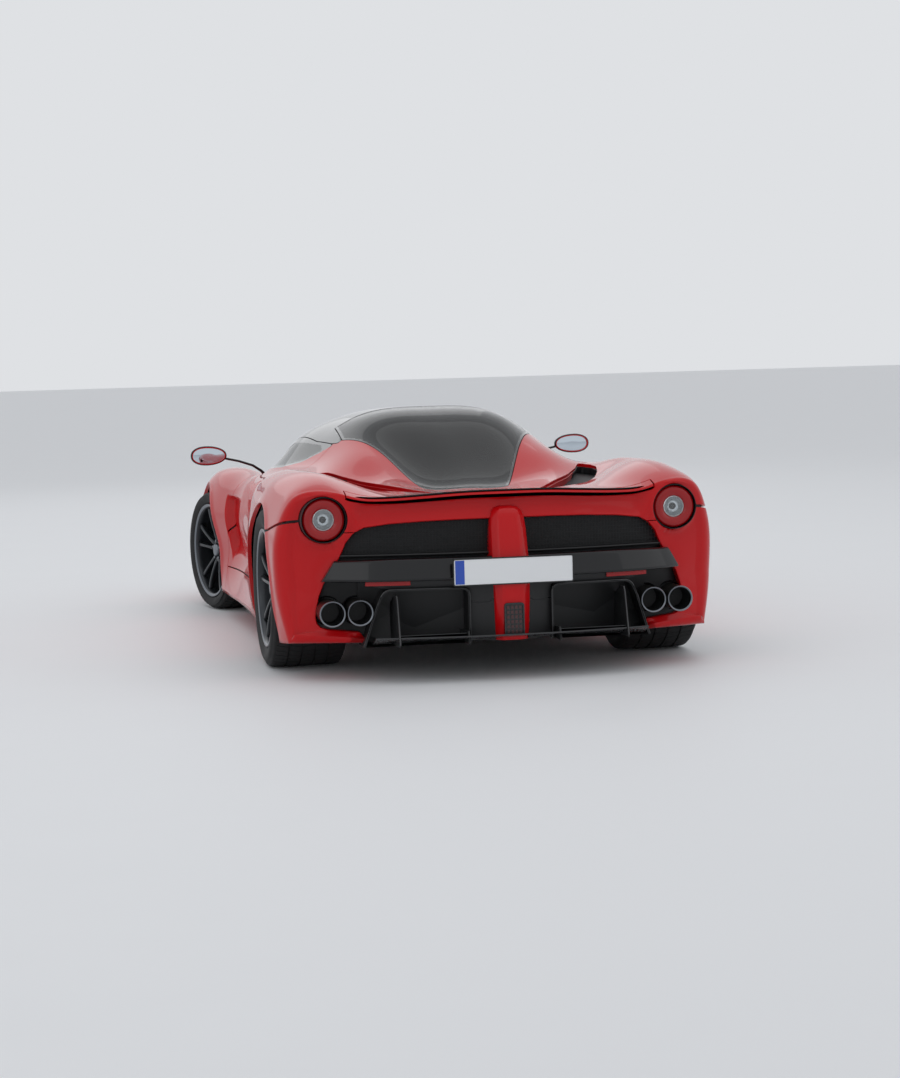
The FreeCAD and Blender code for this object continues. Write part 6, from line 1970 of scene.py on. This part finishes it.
def row_piece(name, shape, count, step, body, finish_name, bevel=0.0, smooth=45):
    obj = linked(name, shape.mesh(name, bevel, 2, smooth))
    grown(obj, line_tree, Count=count, Step=step, Finish=finish(finish_name))
    obj.data.materials.clear()
    return place_piece(obj, [finish_name], body=body)


def engine():
    block = Parts()
    section = [(0.0, 0.59), (0.06, 0.585), (0.1, 0.56), (0.15, 0.575), (0.262, 0.52), (0.276, 0.47), (0.205, 0.36),
        (0.172, 0.23), (0.12, 0.18), (0.0, 0.178)]
    rings = [[(x * s, y, z) for x, z in section] + [(-x * s, y, z) for x, z in reversed(section[1:-1])] for y,
        s in ((0.772, 0.93), (0.785, 1.0), (1.385, 1.0), (1.4, 0.93))]
    block.lofted(rings)
    box_section = [(0.0, 0.48), (0.1, 0.47), (0.15, 0.4), (0.155, 0.3), (0.11, 0.215), (0.0, 0.205)]
    rings = [[(x * s, y, z) for x, z in box_section] + [(-x * s, y, z) for x, z in reversed(box_section[1:-1])] for y,
        s in ((1.395, 1.15), (1.43, 1.0), (1.62, 0.85), (1.8, 0.74), (1.815, 0.6))]
    block.lofted(rings)
    block.piece("engine_block", ["cast"], ("engine",), bevel=0.004, smooth=40)
    covers = Parts()
    for side in (1, -1):
        lean = Matrix.Translation((side * 0.205, 1.09, 0.572)) @ Matrix.Rotation(radians(side * 33), 4, "Y")
        rings = [[(a, y, b) for a, b in rounded([(-w, -0.012), (w, -0.012), (w * 0.82, h), (-w * 0.82, h)], 0.016, 4)]
            for y, w, h in ((-0.285, 0.052, 0.022), (-0.275, 0.062, 0.034), (0.275, 0.062, 0.034),
            (0.285, 0.052, 0.022))]
        covers.lofted(rings, 0, lean)
        for x in (-0.026, 0.0, 0.026):
            covers.box((x - 0.003, -0.25, 0.03), (x + 0.003, 0.25, 0.039), 0, lean)
    for x in (-0.058, 0.058):
        rings = [[(x + a * s, y, 0.655 + b * s) for a,
            b in rounded([(-0.05, -0.03), (0.05, -0.03), (0.042, 0.03), (-0.042, 0.03)], 0.018, 5)] for y,
            s in ((0.825, 0.7), (0.84, 0.95), (0.9, 1.0), (1.26, 1.0), (1.325, 0.92), (1.345, 0.6))]
        covers.lofted(rings, 0)
        for y in np.linspace(0.88, 1.28, 9):
            covers.box((x - 0.036, y - 0.004, 0.68), (x + 0.036, y + 0.004, 0.6885), 0)
    covers.piece("engine_covers", ["crackle"], bevel=0.002, smooth=45)
    runner = Parts()
    for side in (1, -1):
        runner.tube([(side * a, 0.855, b) for a, b in ((0.085, 0.66), (0.118, 0.662), (0.142, 0.645), (0.152, 0.615),
            (0.152, 0.575))], [0.019, 0.018, 0.0175, 0.018, 0.021], 0, 20)
    row_piece("intake_runners", runner, 6, (0, 0.088, 0), "root", "cast", smooth=60)
    bolts = Parts()
    for side in (1, -1):
        for across in (-0.052, 0.052):
            lean = Matrix.Translation((side * 0.205, 0.85, 0.572)) @ Matrix.Rotation(radians(side * 33), 4, "Y")
            bolts.turned(((0.02, 0.0065), (0.0345, 0.0065), (0.036, 0.005), (0.036, 0.0001)),
                lean @ axis_place((across, 0, 0), (0, 0, 1)), 0, 6, False)
    row_piece("engine_bolts", bolts, 7, (0, 0.08, 0), "root", "steel")
    hoses = Parts()
    hoses.tube([(0.0, 1.34, 0.655), (0.0, 1.4, 0.655), (0.0, 1.46, 0.62), (0.0, 1.48, 0.54)], 0.034, 0, 20)
    for side in (1, -1):
        hoses.tube([(side * 0.058, 0.845, 0.655), (side * 0.075, 0.8, 0.665), (side * 0.16, 0.79, 0.69),
            (side * 0.28, 0.82, 0.7), (side * 0.4, 0.95, 0.7)], [0.028, 0.031, 0.034, 0.036, 0.042], 0, 20)
        hoses.tube([(side * 0.13, 0.8, 0.6), (side * 0.2, 0.79, 0.66), (side * 0.33, 0.8, 0.64),
            (side * 0.37, 0.82, 0.5)], 0.01, 1, 12)
    hoses.piece("engine_hoses", ["carbon", "rubber"], smooth=60)
    bay = Parts()
    rings = []
    wall = [(-0.448, 0.735), (-0.43, 0.66), (-0.39, 0.5), (-0.33, 0.3), (-0.22, 0.185)]
    wall = wall + [(-x, z) for x, z in reversed(wall)]
    inner = [(x * 0.985, z + 0.006) for x, z in wall]
    for y, s in ((0.77, 1.0), (1.0, 0.93), (1.2, 0.8), (1.33, 0.66), (1.42, 0.6)):
        top = 1.0 if y < 1.1 else 0.985
        rings.append([(x * s, y, z * top) for x, z in wall] + [(x * s, y, z * top) for x, z in reversed(inner)])
    bay.lofted(rings)
    bay.piece("engine_bay_walls", ["carbon"], smooth=60)
    brace = Parts()
    for side in (1, -1):
        brace.tube([(0, 1.41, 0.665), (side * 0.18, 1.3, 0.69), (side * 0.4, 1.02, 0.715)], 0.011, 0, 16)
    brace.tube([(-0.4, 1.02, 0.715), (0.4, 1.02, 0.715)], 0.011, 0, 16)
    brace.piece("engine_bay_brace", ["steel"], smooth=60)


# Finish of each frame node whose shape stays; it fills every slot of the node
KEPT_NODES = {"front_splitter": "carbon", "arch_liners": "felt", "front_tray": "felt", "front_suspension": "cast",
    "knuckle_left": "cast", "knuckle_right": "cast", "rear_suspension": "cast",}


def kept_nodes():
    for name, finish_name in KEPT_NODES.items():
        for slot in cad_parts[name].material_slots:
            slot.material = finish(finish_name)


# The photograph's viewpoint and its lens, in metres and degrees
CAMERA_AT = (2.4121, 13.2926, 1.5223)
CAMERA_YAW, CAMERA_PITCH, CAMERA_ROLL = 11.0061, 4.6424, -1.4818
FOCAL_PIXELS, IMAGE_WIDTH = 2646.5, 900
SENSOR = 36.0


def camera():
    yaw, pitch, roll = (radians(a) for a in (CAMERA_YAW, CAMERA_PITCH, CAMERA_ROLL))
    ahead = Vector((-sin(yaw) * cos(pitch), -cos(yaw) * cos(pitch), -sin(pitch)))
    right = ahead.cross(Vector((0, 0, 1))).normalized()
    up = right.cross(ahead)
    turned_right = cos(roll) * right + sin(roll) * up
    turned_up = -sin(roll) * right + cos(roll) * up
    data = bpy.data.cameras.new("viewpoint")
    data.sensor_fit = "HORIZONTAL"
    data.sensor_width = SENSOR
    data.lens = FOCAL_PIXELS / IMAGE_WIDTH * SENSOR
    data.clip_end = 100
    obj = linked("viewpoint", data)
    turn = Matrix((turned_right, turned_up, -ahead)).transposed().to_4x4()
    obj.matrix_world = Matrix.Translation(CAMERA_AT) @ turn
    bpy.context.scene.camera = obj


def soft_light(name, place, target, size, power, colour=(1, 1, 1)):
    data = bpy.data.lights.new(name, "AREA")
    data.shape = "RECTANGLE"
    data.size, data.size_y = size
    data.energy = power
    data.color = colour
    obj = linked(name, data)
    obj.location = place
    obj.rotation_euler = (Vector(target) - Vector(place)).to_track_quat("-Z", "Y").to_euler()


def stage():
    mesh = bpy.data.meshes.new("floor")
    reach = 60
    mesh.from_pydata([(-reach, -reach, 0), (reach, -reach, 0), (reach, reach, 0), (-reach, reach, 0)], [],
        [(0, 1, 2, 3)])
    floor = linked("floor", mesh)
    mesh.materials.append(studio_floor())
    world = bpy.data.worlds.new("studio")
    bpy.context.scene.world = world
    world.use_nodes = True
    tree = world.node_tree
    sky = tree.nodes["Background"]
    sky.inputs["Color"].default_value = linear("#DFE1E4")
    paths = add(tree, "ShaderNodeLightPath")
    seen = add(tree, "ShaderNodeMath", {0: paths.outputs["Is Camera Ray"], 1: paths.outputs["Is Glossy Ray"]},
        operation="MAXIMUM")
    seen = add(tree, "ShaderNodeMath", {0: seen.outputs[0], 1: paths.outputs["Is Transmission Ray"]},
        operation="MAXIMUM")
    strength = add(tree, "ShaderNodeMapRange", {"Value": seen.outputs[0], "To Min": 0.86, "To Max": 1.0})
    tree.links.new(strength.outputs["Result"], sky.inputs["Strength"])
    soft_light("overhead", (0, 0.5, 9.0), (0, 0, 0), (12, 14), 170)
    soft_light("rear_left", (10.0, 9.5, 6.0), (0, 0.8, 0.6), (10, 6), 90)
    soft_light("rear_right", (-10.5, 8.0, 6.0), (0, 0.8, 0.6), (10, 6), 60)
    soft_light("front", (1.0, -11.0, 6.0), (0, -0.8, 0.5), (10, 6), 60)
    scene = bpy.context.scene
    scene.view_settings.view_transform = "Standard"
    camera()


def built(*makers):
    for make in makers:
        make()
    return {"FINISHED"}


class SUPERCAR_OT_fixed_panels(bpy.types.Operator):
    """Painted panels of the fixed shell, and the black roof"""
    bl_idname = "supercar.fixed_panels"
    bl_label = "Painted panels"

    def execute(self, context):
        return built(painted_panels)


class SUPERCAR_OT_opening_panels(bpy.types.Operator):
    """Doors, lid and engine cover, with all glazing"""
    bl_idname = "supercar.opening_panels"
    bl_label = "Doors and lids"

    def execute(self, context):
        return built(swinging_panels)


class SUPERCAR_OT_seam_flanges(bpy.types.Operator):
    """Black flanges behind the shut lines, their black painted shade of the gaps"""
    bl_idname = "supercar.seam_flanges"
    bl_label = "Seam flanges"

    def execute(self, context):
        return built(seam_backing)


class SUPERCAR_OT_ducts(bpy.types.Operator):
    """Walls and beds behind the openings of the shell"""
    bl_idname = "supercar.ducts"
    bl_label = "Ducts"

    def execute(self, context):
        return built(ducts)


class SUPERCAR_OT_tail_blade(bpy.types.Operator):
    """Blade that slides out of the tail"""
    bl_idname = "supercar.tail_blade"
    bl_label = "Tail blade"

    def execute(self, context):
        return built(tail_blade)


class SUPERCAR_OT_tail_lamps(bpy.types.Operator):
    """Two round tail lamps"""
    bl_idname = "supercar.tail_lamps"
    bl_label = "Tail lamps"

    def execute(self, context):
        return built(tail_lamps)


class SUPERCAR_OT_centre_spine(bpy.types.Operator):
    """Painted spine with the fog lamp"""
    bl_idname = "supercar.centre_spine"
    bl_label = "Centre spine"

    def execute(self, context):
        return built(centre_spine)


class SUPERCAR_OT_rear_bar(bpy.types.Operator):
    """Gloss bar with its lower panel and reflectors"""
    bl_idname = "supercar.rear_bar"
    bl_label = "Rear bar"

    def execute(self, context):
        return built(rear_bar)


class SUPERCAR_OT_number_plate(bpy.types.Operator):
    """Blank plate in its holder"""
    bl_idname = "supercar.number_plate"
    bl_label = "Number plate"

    def execute(self, context):
        return built(number_plate)


class SUPERCAR_OT_exhausts(bpy.types.Operator):
    """Four tail pipes in their surrounds"""
    bl_idname = "supercar.exhausts"
    bl_label = "Exhausts"

    def execute(self, context):
        return built(exhausts)


class SUPERCAR_OT_diffuser(bpy.types.Operator):
    """Boxes, fins, flaps and floor of the diffuser"""
    bl_idname = "supercar.diffuser"
    bl_label = "Diffuser"

    def execute(self, context):
        return built(diffuser)


class SUPERCAR_OT_grilles(bpy.types.Operator):
    """Woven meshes in the tail and the nose"""
    bl_idname = "supercar.grilles"
    bl_label = "Grilles"

    def execute(self, context):
        return built(rear_grille, front_intakes)


class SUPERCAR_OT_headlamps(bpy.types.Operator):
    """Lenses, beds, projectors and light guides"""
    bl_idname = "supercar.headlamps"
    bl_label = "Headlamps"

    def execute(self, context):
        return built(headlamps)


class SUPERCAR_OT_wheels(bpy.types.Operator):
    """Rims, tyres, discs and calipers"""
    bl_idname = "supercar.wheels"
    bl_label = "Wheels"

    def execute(self, context):
        return built(wheels)


class SUPERCAR_OT_mirrors(bpy.types.Operator):
    """Door mirrors on their stalks, and the wiper"""
    bl_idname = "supercar.mirrors"
    bl_label = "Mirrors and wiper"

    def execute(self, context):
        return built(mirrors, wiper)


class SUPERCAR_OT_seats(bpy.types.Operator):
    """Seat shells with their sewn pads"""
    bl_idname = "supercar.seats"
    bl_label = "Seats"

    def execute(self, context):
        return built(seats)


class SUPERCAR_OT_dashboard(bpy.types.Operator):
    """Dashboard, console, mats, door cards and steering wheel"""
    bl_idname = "supercar.dashboard"
    bl_label = "Dashboard"

    def execute(self, context):
        return built(cabin_tub, dashboard, steering_wheel, door_cards)


class SUPERCAR_OT_engine(bpy.types.Operator):
    """Engine with its covers, runners, hoses and bay"""
    bl_idname = "supercar.engine"
    bl_label = "Engine"

    def execute(self, context):
        return built(engine)


class SUPERCAR_OT_frame_finishes(bpy.types.Operator):
    """Finishes of the frame nodes that stay as they are"""
    bl_idname = "supercar.frame_finishes"
    bl_label = "Frame finishes"

    def execute(self, context):
        return built(kept_nodes)


class SUPERCAR_OT_stage(bpy.types.Operator):
    """Floor, lights and viewpoint"""
    bl_idname = "supercar.stage"
    bl_label = "Studio"

    def execute(self, context):
        return built(stage)


OPERATORS = (SUPERCAR_OT_fixed_panels, SUPERCAR_OT_opening_panels, SUPERCAR_OT_seam_flanges, SUPERCAR_OT_ducts,
    SUPERCAR_OT_tail_blade, SUPERCAR_OT_tail_lamps, SUPERCAR_OT_centre_spine, SUPERCAR_OT_rear_bar,
    SUPERCAR_OT_number_plate, SUPERCAR_OT_exhausts, SUPERCAR_OT_diffuser, SUPERCAR_OT_grilles, SUPERCAR_OT_headlamps,
    SUPERCAR_OT_wheels, SUPERCAR_OT_mirrors, SUPERCAR_OT_seats, SUPERCAR_OT_dashboard, SUPERCAR_OT_engine,
    SUPERCAR_OT_frame_finishes, SUPERCAR_OT_stage,)


class SUPERCAR_PT_sidebar(bpy.types.Panel):
    """Sizes, colours and building steps of the supercar"""
    bl_label = "Supercar"
    bl_idname = "SUPERCAR_PT_sidebar"
    bl_space_type = "VIEW_3D"
    bl_region_type = "UI"
    bl_category = "Supercar"

    def draw(self, context):
        for group in (context.scene.supercar_sizes, context.scene.supercar_colours):
            box = self.layout.box()
            for name in group.bl_rna.properties.keys():
                if name not in ("rna_type", "name"):
                    box.prop(group, name)
        for step in OPERATORS:
            self.layout.operator(step.bl_idname)


CLASSES = (SupercarSizes, SupercarColours) + OPERATORS + (SUPERCAR_PT_sidebar,)


def register():
    for cls in CLASSES:
        bpy.utils.register_class(cls)
    bpy.types.Scene.supercar_sizes = bpy.props.PointerProperty(type=SupercarSizes)
    bpy.types.Scene.supercar_colours = bpy.props.PointerProperty(type=SupercarColours)


def unregister():
    del bpy.types.Scene.supercar_colours
    del bpy.types.Scene.supercar_sizes
    for cls in reversed(CLASSES):
        bpy.utils.unregister_class(cls)


def main():
    register()
    for step in OPERATORS:
        getattr(bpy.ops.supercar, step.bl_idname.split(".")[1])()


if __name__ == "__main__":
    main()
